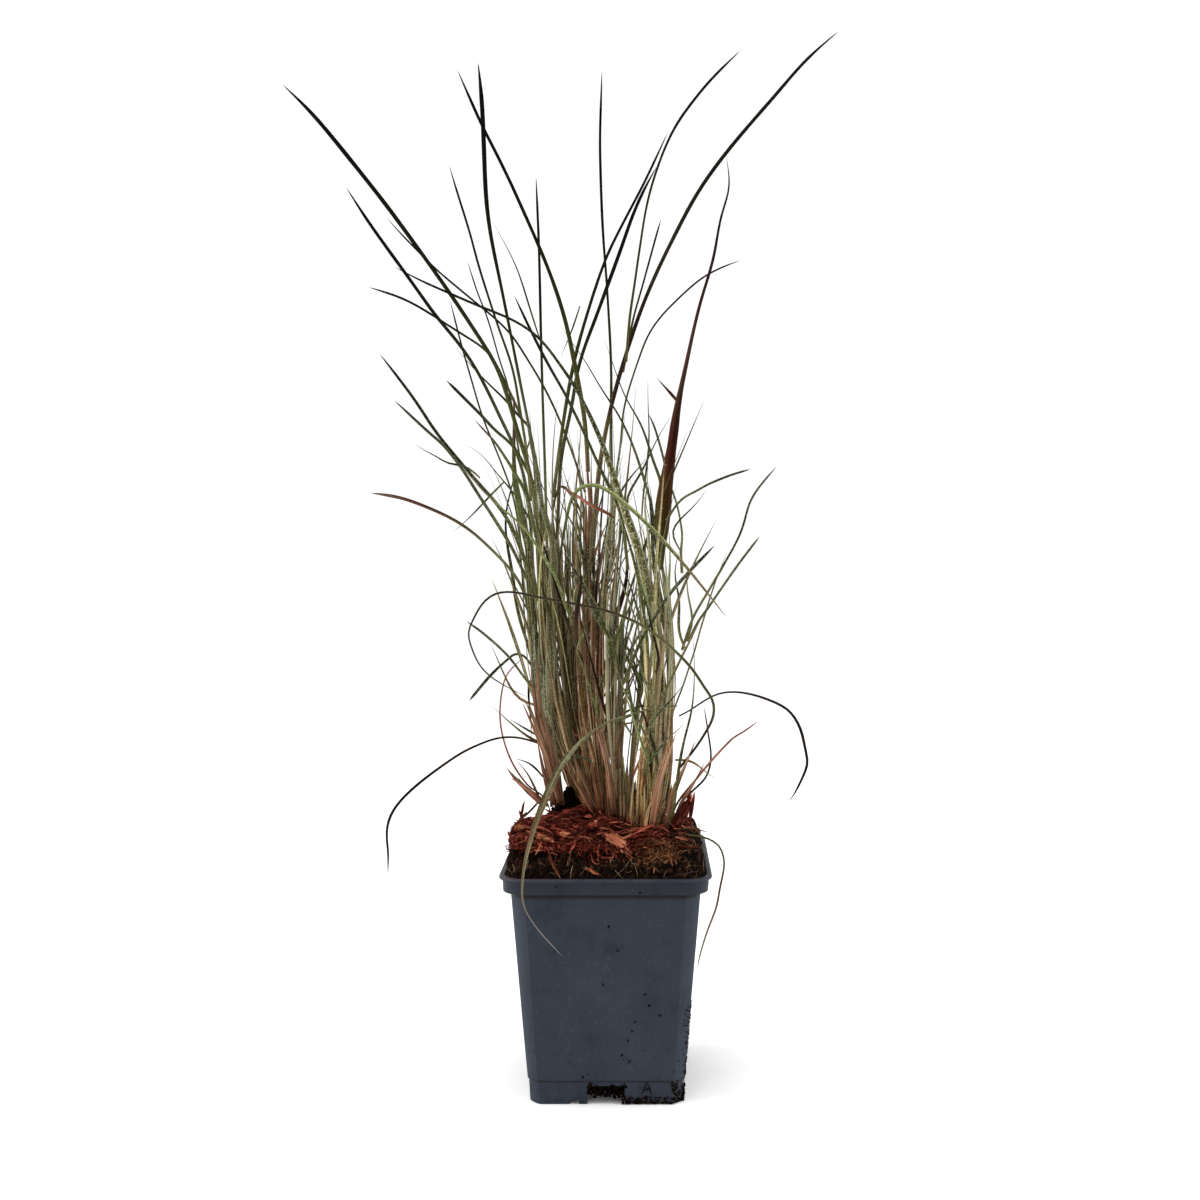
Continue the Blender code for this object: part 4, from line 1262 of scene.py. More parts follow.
class StemLine:
    """The line of a sheath bundle with its half-widths, read at any height."""

    def __init__(self, rows: Array) -> None:
        """Keeps rows of x, y, z, half-width and half-depth, lowest first."""
        self.rows = rows

    @classmethod
    def of(cls, solid: bpy.types.Object, reach: float = 5.0 * MM) -> StemLine:
        """Cuts a solid bundle at even heights, keeping what is near the line.

        Args:
            solid: the solid's object.
            reach: how far from the last middle a cut point may lie.

        Returns:
            Its line.
        """
        points, triangles = merged(solid)
        edges = np.unique(
            np.sort(np.concatenate([triangles[:, [0, 1]], triangles[:, [1, 2]]]), 1), axis=0
        )
        low, high = points[edges[:, 0]], points[edges[:, 1]]
        centre = points[points[:, 2] > points[:, 2].max() - 0.4 * MM].mean(0)
        rows = []
        for height in np.arange(points[:, 2].max() - 0.5 * MM, points[:, 2].min(), -2 * MM):
            crossing = (low[:, 2] - height) * (high[:, 2] - height) < 0
            part = (height - low[crossing, 2]) / (high[crossing, 2] - low[crossing, 2])
            cut = low[crossing] + part[:, None] * (high[crossing] - low[crossing])
            near = cut[np.linalg.norm(cut[:, :2] - centre[:2], axis=1) < reach]
            if len(near) < 4:
                break
            centre = (near.min(0) + near.max(0)) / 2
            half = (near.max(0) - near.min(0)) / 2
            rows.append([centre[0], centre[1], height, half[0], half[1]])
        return cls(np.array(rows[::-1]))

    def between(self, other: StemLine, part: float) -> StemLine:
        """Gives a thinner line part of the way to another."""
        low = max(self.rows[0, 2], other.rows[0, 2])
        high = min(self.rows[-1, 2], other.rows[-1, 2])
        height = np.linspace(low, high, 40)
        rows = self.at(height) * (1 - part) + other.at(height) * part
        rows[:, 3:] = 1.7 * MM
        return StemLine(rows)

    def at(self, height: Array) -> Array:
        """Reads the line at heights, carried on straight past its top.

        Args:
            height: heights in metres.

        Returns:
            Rows of x, y, z, half-width and half-depth.
        """
        table = self.rows
        read = [np.interp(height, table[:, 2], table[:, k]) for k in (0, 1, 3, 4)]
        back = max(2, min(12, len(table) - 1))
        rise = (table[-1] - table[-1 - back]) / (table[-1, 2] - table[-1 - back, 2])
        over = np.maximum(0, height - table[-1, 2])
        return np.stack([read[0] + rise[0] * over, read[1] + rise[1] * over, height, *read[2:]], 1)


# Pot


def rounded_squares(half: Array, corner: Array, arc_share: Array, spread: tuple[int, int]) -> Array:
    """Outlines of rounded squares.

    A corner runs between its tangent points by a mix of the quarter circle and its
    chord; an edge is straight. One quarter is turned to give the others.

    Args:
        half: half-width of each square.
        corner: size of its corners.
        arc_share: how much of the mix is the circle.
        spread: points on a corner, and points on an edge between corners.

    Returns:
        For each square, its points against the clock, as x and y.
    """
    arc, edge = spread
    angle, part = np.linspace(0, np.pi / 2, arc), np.linspace(0, 1, arc)
    circle = np.stack([np.cos(angle), np.sin(angle)], 1)
    chord = np.stack([1 - part, part], 1)
    mixed = arc_share[:, None, None] * circle + (1 - arc_share)[:, None, None] * chord
    turned = (half - corner)[:, None, None] + corner[:, None, None] * mixed
    across = (half - corner)[:, None] * np.linspace(1, -1, edge + 2)[None, 1:-1]
    straight = np.stack([across, np.broadcast_to(half[:, None], across.shape)], 2)
    quarter = np.concatenate([turned, straight], 1)
    quarters = [quarter]
    for _ in range(3):
        last = quarters[-1]
        quarters.append(np.stack([-last[..., 1], last[..., 0]], 2))
    return np.concatenate(quarters, 1)


def soften(rows: Array, radius: float) -> Array:
    """Rounds a profile's corners.

    Each inner row becomes three: two set back along its sides, and a middle one
    halfway from the corner to the chord between them.

    Args:
        rows: half-width, corner, height and arc share.
        radius: how far back the outer two are set.

    Returns:
        The longer list of rows.
    """
    corner = rows[1:-1]

    def towards(other: Array) -> Array:
        """Sets the corners back towards their neighbours."""
        gap = np.linalg.norm((other - corner)[:, [0, 2]], axis=1, keepdims=True)
        return corner + (other - corner) * np.minimum(0.35, radius / np.maximum(gap, 1e-9))

    first, last = towards(rows[:-2]), towards(rows[2:])
    middle = 0.25 * first + 0.25 * last + 0.5 * corner
    inner = np.stack([first, middle, last], 1).reshape(-1, rows.shape[1])
    return np.concatenate([rows[:1], inner, rows[-1:]])


def refine(rows: Array, longest: float) -> Array:
    """Adds rows so that no step of half-width and height is longer than given."""
    gaps = np.linalg.norm(np.diff(rows, axis=0)[:, [0, 2]], axis=1)
    parts = np.maximum(1, np.ceil(gaps / longest)).astype(int)
    steps = [k + np.arange(n) / n for k, n in enumerate(parts)]
    stations = np.concatenate([*steps, [len(parts)]])
    numbers = np.arange(len(rows))
    return np.stack([np.interp(stations, numbers, column) for column in rows.T], 1)


def prism(outline: Array, low: float, high: float, turn: float) -> bpy.types.Object:
    """Makes a bar along Y to cut with.

    Args:
        outline: rows of x and z, with the clock as seen from negative Y.
        low: Y of its front.
        high: Y of its back.
        turn: angle about Z in radians.

    Returns:
        An object of the closed bar.
    """
    count = len(outline)
    front = np.stack([outline[:, 0], np.full(count, low), outline[:, 1]], 1)
    back = front + np.array([0, high - low, 0])
    cos, sin = math.cos(turn), math.sin(turn)
    points = np.concatenate([front, back]) @ np.array([[cos, sin, 0], [-sin, cos, 0], [0, 0, 1]])
    mesh = bpy.data.meshes.new("cutter")
    mesh.from_pydata(points.tolist(), [], tube_faces(2, count, False))
    made = bpy.data.objects.new("cutter", mesh)
    bpy.context.scene.collection.objects.link(made)
    return made


@dataclass(frozen=True)
class NurseryPot:
    """Square nursery pot: lip, band, tapering walls, step, skirt and feet.

    Every length is in metres, and a half is half a width.
    """

    view: PictureView
    height: float = 100 * MM
    wall: float = 1.0 * MM
    lip_half: float = 45 * MM
    band_half: float = 43.7 * MM
    band_foot: float = 93.1 * MM
    top_half: float = 40.3 * MM
    foot_half: float = 33.8 * MM
    step: float = 10 * MM
    skirt_half: float = 32.8 * MM
    corner_top: float = 6.4 * MM
    corner_foot: float = 4.4 * MM
    floor_top: float = 10.6 * MM
    floor_under: float = 9.4 * MM
    arc_share: float = 0.35
    notch: tuple[float, float] = (16 * MM, 8 * MM)
    nick: tuple[float, float, float] = (13.6 * MM, 4 * MM, 1.8 * MM)
    drain: float = 4 * MM
    drain_out: float = 19 * MM
    bow: float = 0.25 * MM
    edge: float = 0.35 * MM

    def half_at(self, height: Array) -> Array:
        """Half-width of the walls' outside, straight from step to band."""
        part = (height - self.step) / (self.band_foot - self.step)
        return self.foot_half + (self.top_half - self.foot_half) * part

    def corner_at(self, height: float) -> float:
        """Size of the walls' corners, straight from foot to band."""
        return self.corner_foot + (self.corner_top - self.corner_foot) * height / self.band_foot

    def profile(self) -> Array:
        """Lists the pot's section from under its floor, outwards and back in.

        Returns:
            Rows of half-width, corner, height and arc share.
        """
        mixed, round_ = self.arc_share, 1.0
        inside = self.half_at(self.floor_top) - self.wall
        shoulder = self.top_half - self.wall
        rows = [
            (31.5 * MM, 3.9 * MM, self.floor_under, mixed),
            (31.3 * MM, 3.65 * MM, 0.0, mixed),
            (self.skirt_half, self.corner_foot, 0.0, mixed),
            (33.3 * MM, self.corner_at(self.floor_under), self.floor_under, mixed),
            (self.foot_half, self.corner_at(self.step), self.step, mixed),
            (self.top_half, self.corner_top, self.band_foot, mixed),
            (43.4 * MM, 8.8 * MM, self.band_foot, round_),
            (self.band_half, 9.2 * MM, 98.7 * MM, round_),
            (self.lip_half, 10 * MM, 98.7 * MM, round_),
            (self.lip_half, 10 * MM, 99.6 * MM, round_),
            (44.6 * MM, 9.6 * MM, self.height, round_),
            (42.7 * MM, 9 * MM, self.height, round_),
            (42.7 * MM, 9 * MM, 94.3 * MM, round_),
            (shoulder, self.corner_top - 0.5 * MM, self.band_foot - self.wall, mixed),
            (inside, self.corner_at(self.floor_top) - 0.5 * MM, self.floor_top, mixed),
        ]
        return refine(soften(np.array(rows), self.edge), 4 * MM)

    def build(self) -> None:
        """Builds the pot, cuts its notches and drains, and dresses it."""
        rows = self.profile()
        loops = rounded_squares(rows[:, 0], rows[:, 1], rows[:, 3], (7, 14))
        heights = np.broadcast_to(rows[:, 2][:, None, None], (*loops.shape[:2], 1))
        points = np.concatenate([loops, heights], 2).reshape(-1, 3)
        out = unit(points * np.array([1, 1, 0]))
        sway = value_noise(out * 2.1 + points * np.array([0, 0, 25]), 1.0, 4)
        high = smooth_step(0.01, 0.03, points[:, 2]) * (1 - smooth_step(0.085, 0.095, points[:, 2]))
        points += out * (self.bow * sway * high)[:, None]
        mesh = bpy.data.meshes.new("nursery_pot")
        mesh.from_pydata(points.tolist(), [], tube_faces(len(rows), loops.shape[1], False))
        pot = bpy.data.objects.new("nursery_pot", mesh)
        bpy.context.scene.collection.objects.link(pot)
        for cutter in self.cutters():
            cut = pot.modifiers.new("cut", "BOOLEAN")
            cut.object, cut.operation, cut.solver = cutter, "DIFFERENCE", "EXACT"
        ready = pot.evaluated_get(bpy.context.evaluated_depsgraph_get())
        cut_mesh = bpy.data.meshes.new_from_object(ready)
        for modifier in list(pot.modifiers):
            bpy.data.objects.remove(modifier.object)
        pot.modifiers.clear()
        pot.data = cut_mesh
        cut_mesh.polygons.foreach_set("use_smooth", [True] * len(cut_mesh.polygons))
        cut_mesh.set_sharp_from_angle(angle=math.radians(28))
        cut_mesh.materials.clear()
        cut_mesh.materials.append(PALETTE["plastic"])
        place(pot, "nursery_pot", "pot")

    def cutters(self) -> list[bpy.types.Object]:
        """Makes the bars that cut the notches, nicks and drain holes.

        Returns:
            Their objects.
        """
        wide, tall = self.notch[0] / 2, self.notch[1]
        soft, under = 1.6 * MM, -2 * MM
        angle = np.linspace(0, np.pi / 2, 5)
        right = np.stack(
            [wide - soft + soft * np.cos(angle), tall - soft + soft * np.sin(angle)], 1
        )
        left = right[::-1] * np.array([-1, 1])
        arch = np.concatenate([[[wide, under]], right, left, [[-wide, under]]])[::-1]
        bars = [prism(arch, -50 * MM, 50 * MM, turn) for turn in (0, np.pi / 2)]
        middle, width, rise = self.nick
        slot = np.array([[-1, under], [-1, rise], [1, rise], [1, under]])
        slot[:, 0] = slot[:, 0] * width / 2 - middle
        bars += [prism(slot, -36 * MM, -28 * MM, k * np.pi / 2) for k in range(4)]
        around = np.linspace(0, 2 * np.pi, 25)[:-1]
        for x, y in ((0, 0), (1, 1), (1, -1), (-1, 1), (-1, -1)):
            ring = self.drain * np.stack([np.cos(around), np.sin(around)], 1)
            ring += np.array([x, y]) * self.drain_out
            low, top = np.full((24, 1), 8 * MM), np.full((24, 1), 12 * MM)
            points = np.concatenate([np.hstack([ring, low]), np.hstack([ring, top])])
            mesh = bpy.data.meshes.new("drain")
            mesh.from_pydata(points.tolist(), [], tube_faces(2, 24, False))
            bars.append(bpy.data.objects.new("drain", mesh))
            bpy.context.scene.collection.objects.link(bars[-1])
        return bars

    def on_front(self, pixels: Array) -> Array:
        """Finds where pixels meet the pot's front and its front corners.

        The depth is set to the wall's half-width at the height it gives, less the
        corner's set-back, and this is repeated until it settles.

        Args:
            pixels: columns and rows.

        Returns:
            Rows of x, y, z on the outside of the wall.
        """
        depth = np.full(len(pixels), -self.top_half)
        for _ in range(6):
            points = self.view.points(pixels, depth)
            half = self.half_at(points[:, 2])
            corner = self.corner_foot + 0.5 * MM
            past = np.clip(np.abs(points[:, 0]) - (half - corner), 0, corner)
            depth = -half + past * 0.8
        points[:, 0] = np.clip(points[:, 0], -half, half)
        return points


SPECKS = ((608, 927), (618, 950), (603, 985), (645, 995), (649, 1006), (660, 1015), (635, 1022),
          (632, 1031), (628, 1040), (622, 1055), (630, 1062), (583, 1077), (679, 1061), (677, 1080))
BAND_SPECKS = ((556, 887), (640, 893), (708, 883))
MARKS = (((641, 1096), (647, 1082)), ((647, 1082), (652, 1096)), ((643, 1091), (651, 1088)),
         ((630, 1103), (655, 1096)))


@dataclass(frozen=True)
class PotDirt:
    """Peat stuck to the pot: specks, a caked corner, and near-black crumbs in the notch, partly
    peat and partly painted shade.
    """

    view: PictureView
    pot: NurseryPot
    corner: tuple[float, float, float, float] = (682, 1003, 692, 1106)
    clump: tuple[float, float, float, float] = (672, 1083, 691, 1107)
    notch_fill: tuple[float, float, float, float] = (586, 1083, 626, 1098)
    foot: tuple[float, float, float, float] = (622, 1097, 690, 1107)

    def build(self) -> None:
        """Builds all of it as one piece of crumbs and short strokes."""
        rng = np.random.default_rng(31)
        patches = []
        for box, count in ((self.corner, 460), (self.clump, 150), (self.notch_fill, 420),
                           (self.foot, 170)):
            part = rng.uniform(0, 1, (count, 2))
            patches.append(np.array(box[:2]) + part * (np.array(box[2:]) - np.array(box[:2])))
        patches.append(np.repeat(np.array(SPECKS, float), 3, 0) + rng.normal(0, 0.7, (42, 2)))
        spots = self.pot.on_front(np.concatenate(patches))
        band = np.array(BAND_SPECKS, float)
        on_band = self.view.points(band, np.full(len(band), -self.pot.band_half))
        spots = np.concatenate([spots, on_band])
        spots[:, 2] = np.maximum(spots[:, 2], 0.5 * MM)
        spots[610:1030, 1] += rng.uniform(0.2, 5.0, 420) * MM
        half = self.pot.half_at(spots[:340, 2])
        spots[:340, 0] = half
        spots[:340, 1] = 4 * MM - half + 20 * MM * rng.uniform(0, 1, 340) ** 1.5
        count = len(spots)
        sizes = rng.uniform(0.2, 0.7, (count, 1)) * rng.uniform(0.7, 1.2, (count, 3)) * MM
        sizes[:460] *= 0.6
        sizes[610:1030] *= 1.2
        sizes[1200:] *= 0.75
        points, faces = scatter(*lump(), spots, sizes, random_turns(count, rng))
        tone = rng.uniform(0, 0.6, count)
        # The crumbs in the notch are near black: partly peat, partly painted shade in the notch.
        tone[610:1030] *= 0.25
        tone = np.repeat(tone, 12)
        share = np.stack([tone * 0, tone * 0, tone], 1)
        piece = Piece("pot_dirt", "peat", PALETTE["crumbs"])
        piece.add(Surface(points, faces, points * 0, share))
        ends = [self.pot.on_front(np.array([m[k] for m in MARKS], float)) for k in (0, 1)]
        part = np.linspace(0, 1, 5)[None, :, None]
        lines = ends[0][:, None] * (1 - part) + ends[1][:, None] * part
        piece.add(strands(lines, np.full(len(lines), 0.35 * MM), 0.6, rng))
        piece.build(smooth=False)


# Root ball


@dataclass(frozen=True)
class RootBall:
    """Peat root ball: it fills the pot and stands proud of the rim.

    Its top is steep just inside the rim, level in the middle, low at the back
    corners, with lumps, crumbs and pale roots.
    """

    pot: NurseryPot
    proud: float = 14 * MM
    shoulder: float = 1.5 * MM
    reach: float = 43.1 * MM
    edge_power: int = 16
    lump: float = 0.7 * MM
    lump_length: float = 16 * MM
    fine_length: float = 7.6 * MM
    left_dip: float = 8 * MM
    right_dip: float = 5 * MM
    dip_across: tuple[float, float] = (12 * MM, 34 * MM)
    left_back: tuple[float, float] = (-6 * MM, 16 * MM)
    right_back: tuple[float, float] = (-12 * MM, 12 * MM)
    rim_half: float = 42.25 * MM
    rim_corner: float = 9 * MM
    crown_rings: int = 62
    rough: float = 2.4 * MM
    crown: float = 12 * MM

    def height(self, x: Array, y: Array) -> Array:
        """Height of the top without its grit.

        Args:
            x: places across.
            y: places back.

        Returns:
            The pot's height plus the shoulder, plus the proud height with two waves
            of lumps and less the dips, times one less a high power of the closeness
            to the edge.
        """
        near = np.minimum(1, np.maximum(np.abs(x), np.abs(y)) / self.reach)
        coarse, fine = 2 * np.pi / self.lump_length, 2 * np.pi / self.fine_length
        lumps = np.sin(coarse * x + 1.3) * np.cos(coarse * y - 0.4)
        lumps = lumps + 0.6 * np.sin(fine * (x - 0.8 * y))
        left = smooth_step(*self.dip_across, -x) * smooth_step(*self.left_back, y)
        right = smooth_step(*self.dip_across, x) * smooth_step(*self.right_back, y)
        body = self.proud - self.shoulder + self.lump * lumps
        body = body - self.left_dip * left - self.right_dip * right
        return self.pot.height + self.shoulder + body * (1 - near**self.edge_power)

    def meet(self, view: PictureView, pixels: Array) -> Array:
        """Finds where pixels first meet the top.

        Sight lines are read at 400 even depths from front to back, and the first
        place below the top is kept, or else the one that comes nearest to it.

        Args:
            view: the photograph's view.
            pixels: columns and rows.

        Returns:
            Rows of x, y, z.
        """
        depth = np.linspace(-self.reach, self.reach, 400)
        lines = np.stack([view.points(pixels, np.full(len(pixels), d)) for d in depth])
        gap = lines[..., 2] - self.height(lines[..., 0], lines[..., 1])
        met = gap <= 0
        first = np.where(met.any(0), np.argmax(met, 0), np.argmin(gap, 0))
        return lines[first, np.arange(len(pixels))]

    def build(self) -> None:
        """Builds the ball, its crumbs and its roots."""
        mixed = self.pot.arc_share
        base = self.pot.floor_top + 0.3 * MM
        side = [
            (self.pot.half_at(base) - 1.45 * MM, 4.6 * MM, base, mixed),
            (self.pot.top_half - 1.6 * MM, 6.4 * MM, 92.1 * MM, mixed),
            (self.rim_half, self.rim_corner, 95.3 * MM, 1.0),
            (self.rim_half, self.rim_corner, 100.4 * MM, 1.0),
        ]
        side.append((self.rim_half, self.rim_corner, 104.6 * MM, 1.0))
        side_rows = refine(np.array(side[:4]), 5 * MM)[:-1]
        side_rows = np.concatenate([side_rows, refine(np.array(side[3:]), 0.55 * MM)])
        inwards = 1 - np.linspace(0, 1, self.crown_rings + 1)[1:-1] ** 1.6
        crown = np.stack(
            [self.rim_half * inwards, self.rim_corner * inwards, inwards * 0,
             np.ones(len(inwards))], 1
        )
        rows = np.concatenate([side_rows, crown])
        loops = rounded_squares(rows[:, 0], rows[:, 1], rows[:, 3], (14, 76))
        x, y = loops[..., 0], loops[..., 1]
        z = np.broadcast_to(rows[:, 2][:, None], x.shape).copy()
        z[len(side_rows) :] = self.height(x, y)[len(side_rows) :]
        points = np.stack([x, y, z], 2).reshape(-1, 3)
        points = np.concatenate([points, [[0, 0, float(self.height(np.zeros(1), np.zeros(1))[0])]]])
        free = smooth_step(100 * MM, 102 * MM, points[:, 2])
        upright = points * np.array([1, 1, 0.45])
        grit = value_noise(points, 2.6 * MM, 1) + 0.8 * value_noise(points, 1.2 * MM, 2)
        push = value_noise(upright, 3.3 * MM, 3) ** 2 + 0.5 * value_noise(upright, 1.1 * MM, 5) ** 2
        push *= free * smooth_step(36 * MM, 39 * MM, np.abs(points[:, :2]).max(1))
        points[:, 2] += 0.55 * MM * grit * free
        out = unit(points * np.array([1, 1, 0]))
        points -= out * (self.rough * np.clip(push, 0, 1))[:, None]
        ball = Piece("root_ball_peat", "peat", PALETTE["peat"])
        share = np.tile([0.0, 0.0, 0.5], (len(points), 1))
        ball.add(Surface(points, tube_faces(*loops.shape[:2], True), points * 0, share))
        ball.build("root_ball")
        self.crumbs()
        self.roots()

    def spread(self, count: int, rng: np.random.Generator, edge: float) -> Array:
        """Draws places on the top.

        Args:
            count: how many.
            rng: source of the numbers.
            edge: power under one that gathers them at the edge.

        Returns:
            Rows of x, y, z.
        """
        far = rng.uniform(0, 1, count) ** edge
        angle = rng.uniform(0, 2 * np.pi, count)
        way = np.stack([np.cos(angle), np.sin(angle)], 1)
        way /= np.abs(way).max(1, keepdims=True) ** 0.85
        spots = np.clip(way * far[:, None] * 41.6 * MM, -41.6 * MM, 41.6 * MM)
        return np.column_stack([spots, self.height(spots[:, 0], spots[:, 1])])

    def crumbs(self) -> None:
        """Scatters peat crumbs on the top, on its steep edge and on the crown, where they are
        darker: partly dark peat, partly painted shade between the stems.
        """
        rng = np.random.default_rng(11)
        top, edge, crown = 2300, 1500, 420
        spots = self.spread(top, rng, 0.33)
        rim = self.spread(edge, rng, 0.02)
        rim[:, 2] = 100.6 * MM + (rim[:, 2] - 100.6 * MM) * rng.uniform(0, 1, edge)
        angle, far = rng.uniform(0, 2 * np.pi, crown), np.sqrt(rng.uniform(0, 1, crown))
        heap = np.stack([np.cos(angle), np.sin(angle)], 1) * far[:, None] * 9 * MM
        heap = heap + np.array([-20 * MM, 30 * MM])
        rise = self.crown * (1 - far**2) * rng.uniform(0.2, 1, crown)
        heap = np.column_stack([heap, self.height(heap[:, 0], heap[:, 1]) + rise])
        spots = np.concatenate([spots, rim, heap])
        count = len(spots)
        sizes = rng.uniform(0.25, 0.95, (count, 1)) ** 1.6 * rng.uniform(0.6, 1.3, (count, 3)) * MM
        sizes[top + edge :] *= 2.2
        points, faces = scatter(*lump(), spots, sizes, random_turns(count, rng))
        tone = rng.uniform(0, 1, count) ** 1.5
        # The crown's crumbs are darker: partly dark peat, partly painted shade between the stems.
        tone[top + edge :] *= 0.3
        tone = np.repeat(tone, 12)
        share = np.stack([tone * 0, tone * 0, tone], 1)
        piece = Piece("peat_crumbs", "peat", PALETTE["crumbs"])
        piece.add(Surface(points, faces, points * 0, share))
        piece.build(smooth=False)

    def roots(self) -> None:
        """Lays fine pale roots over the top and down the steep sides."""
        rng = np.random.default_rng(12)
        count, steps = 110, 14
        start = self.spread(count, rng, 0.12)
        heading = rng.uniform(0, 2 * np.pi, count)
        length = rng.uniform(5, 15, count) * MM
        turn = np.cumsum(rng.normal(0, 0.2, (count, steps)), 1) + heading[:, None]
        step = np.stack([np.cos(turn), np.sin(turn)], 2) * (length / steps)[:, None, None]
        flat = np.clip(start[:, None, :2] + np.cumsum(step, 1), -42.2 * MM, 42.2 * MM)
        rise = np.abs(rng.normal(0.5, 0.4, (count, 1))) * MM
        high = self.height(flat[..., 0], flat[..., 1]) + rise
        lines = np.concatenate([flat, high[..., None]], 2)
        piece = Piece("fine_roots", "peat", PALETTE["roots"])
        piece.add(strands(lines, rng.uniform(0.06, 0.18, count) * MM, 0.8, rng))
        count = 260
        turn = rng.normal(0, 0.2, (count, steps)).cumsum(1) + rng.uniform(-2.6, -0.5, (count, 1))
        run = rng.uniform(2, 9, (count, 1)) * MM / steps
        along = rng.uniform(-40, 40, (count, 1)) * MM + np.cumsum(np.cos(turn) * run, 1)
        high = rng.uniform(102, 109, (count, 1)) * MM + np.cumsum(np.sin(turn) * run, 1)
        along, high = np.clip(along, -41 * MM, 41 * MM), np.maximum(high, 100.3 * MM)
        out = -self.rim_half - rng.uniform(-1.2, 0.2, (count, 1)) * MM + along * 0
        corner = np.maximum(0, np.abs(along) - 35 * MM)
        lines = np.stack([along, out + corner**2 / (16 * MM), high], 2)
        way = rng.integers(0, 4, count)
        cos, sin = np.cos(way * np.pi / 2)[:, None], np.sin(way * np.pi / 2)[:, None]
        x, y = lines[..., 0].copy(), lines[..., 1].copy()
        lines[..., 0], lines[..., 1] = x * cos - y * sin, x * sin + y * cos
        piece.add(strands(lines, rng.uniform(0.05, 0.15, count) * MM, 0.8, rng))
        piece.build()


def strands(
    lines: Array, half: Array, flat: float, rng: np.random.Generator, blunt: float = 0.25
) -> Surface:
    """Builds many thin tapering strips at once.

    Each section is a diamond: the line plus and minus the half-width across, and
    plus and minus the flatness times it along the normal. The half-width follows
    the power 0.35 of a half wave along the line, and is blunt at its ends.

    Args:
        lines: for each strip, its rows of x, y, z.
        half: half-width of each.
        flat: thickness as a share of the width.
        rng: source of turns and tones.
        blunt: least share of the half-width at the ends.

    Returns:
        One surface of all the strips.
    """
    number, steps = lines.shape[:2]
    tangent = unit(np.gradient(lines, axis=1))
    guide = unit(rng.normal(0, 0.45, (number, 1, 3)) + np.array([0, 0, 1.0]))
    across = unit(np.cross(tangent, guide))
    normal = np.cross(across, tangent)
    along = np.linspace(0, 1, steps)
    width = half[:, None] * np.maximum(blunt, np.sin(np.pi * along) ** 0.35)[None]
    side = across * width[..., None]
    up = normal * (width * flat)[..., None]
    body = np.stack([lines + side, lines - up, lines - side, lines + up], 2)
    one = tube_faces(steps, 4, False)
    faces = [[k * steps * 4 + i for i in face] for k in range(number) for face in one]
    run = np.linalg.norm(np.diff(lines, axis=1, prepend=lines[:, :1]), axis=2).cumsum(1)
    seeds = rng.uniform(0, 1, (number, 1, 1))
    shape = (number, steps, 4)
    offset = width[..., None] * np.array([1.0, 0, -1, 0])
    grain = np.stack(
        [offset, np.broadcast_to(run[..., None], shape), np.broadcast_to(seeds, shape)], 3
    )
    tones = rng.uniform(0, 1, (number, 1, 1)) ** 1.4
    share = np.stack(
        [np.broadcast_to(along[None, :, None], shape), np.zeros(shape),
         np.broadcast_to(tones, shape)], 3
    )
    return Surface(body.reshape(-1, 3), faces, grain.reshape(-1, 3), share.reshape(-1, 3))


# Mulch


def curved_lines(
    middles: Array, headings: Array, lengths: Array, steps: int, bend: Array
) -> Array:
    """Gives short arcs round their middles.

    Args:
        middles: rows of x, y, z.
        headings: unit rows of their direction.
        lengths: length of each.
        steps: points on each.
        bend: rows of how far each middle is pushed out of line, as a vector.

    Returns:
        For each arc, its points: middle plus heading times length, plus the bend
        times one less the square of the place.
    """
    place_on = np.linspace(-1, 1, steps)[None, :, None]
    reach = headings[:, None] * (lengths / 2)[:, None, None] * place_on
    return middles[:, None] + reach + bend[:, None] * (0.5 - place_on**2)


@dataclass(frozen=True)
class Splinter:
    """A piece of mulch given by the pixels of its two ends.

    Attributes:
        ends: the two pixels.
        width: its width in millimetres.
        lift: how far its two ends lie above the peat, in millimetres.
        orange: whether it is bright new bark.
    """

    ends: tuple[tuple[float, float], tuple[float, float]]
    width: float
    lift: tuple[float, float] = (2.5, 2.5)
    orange: bool = False


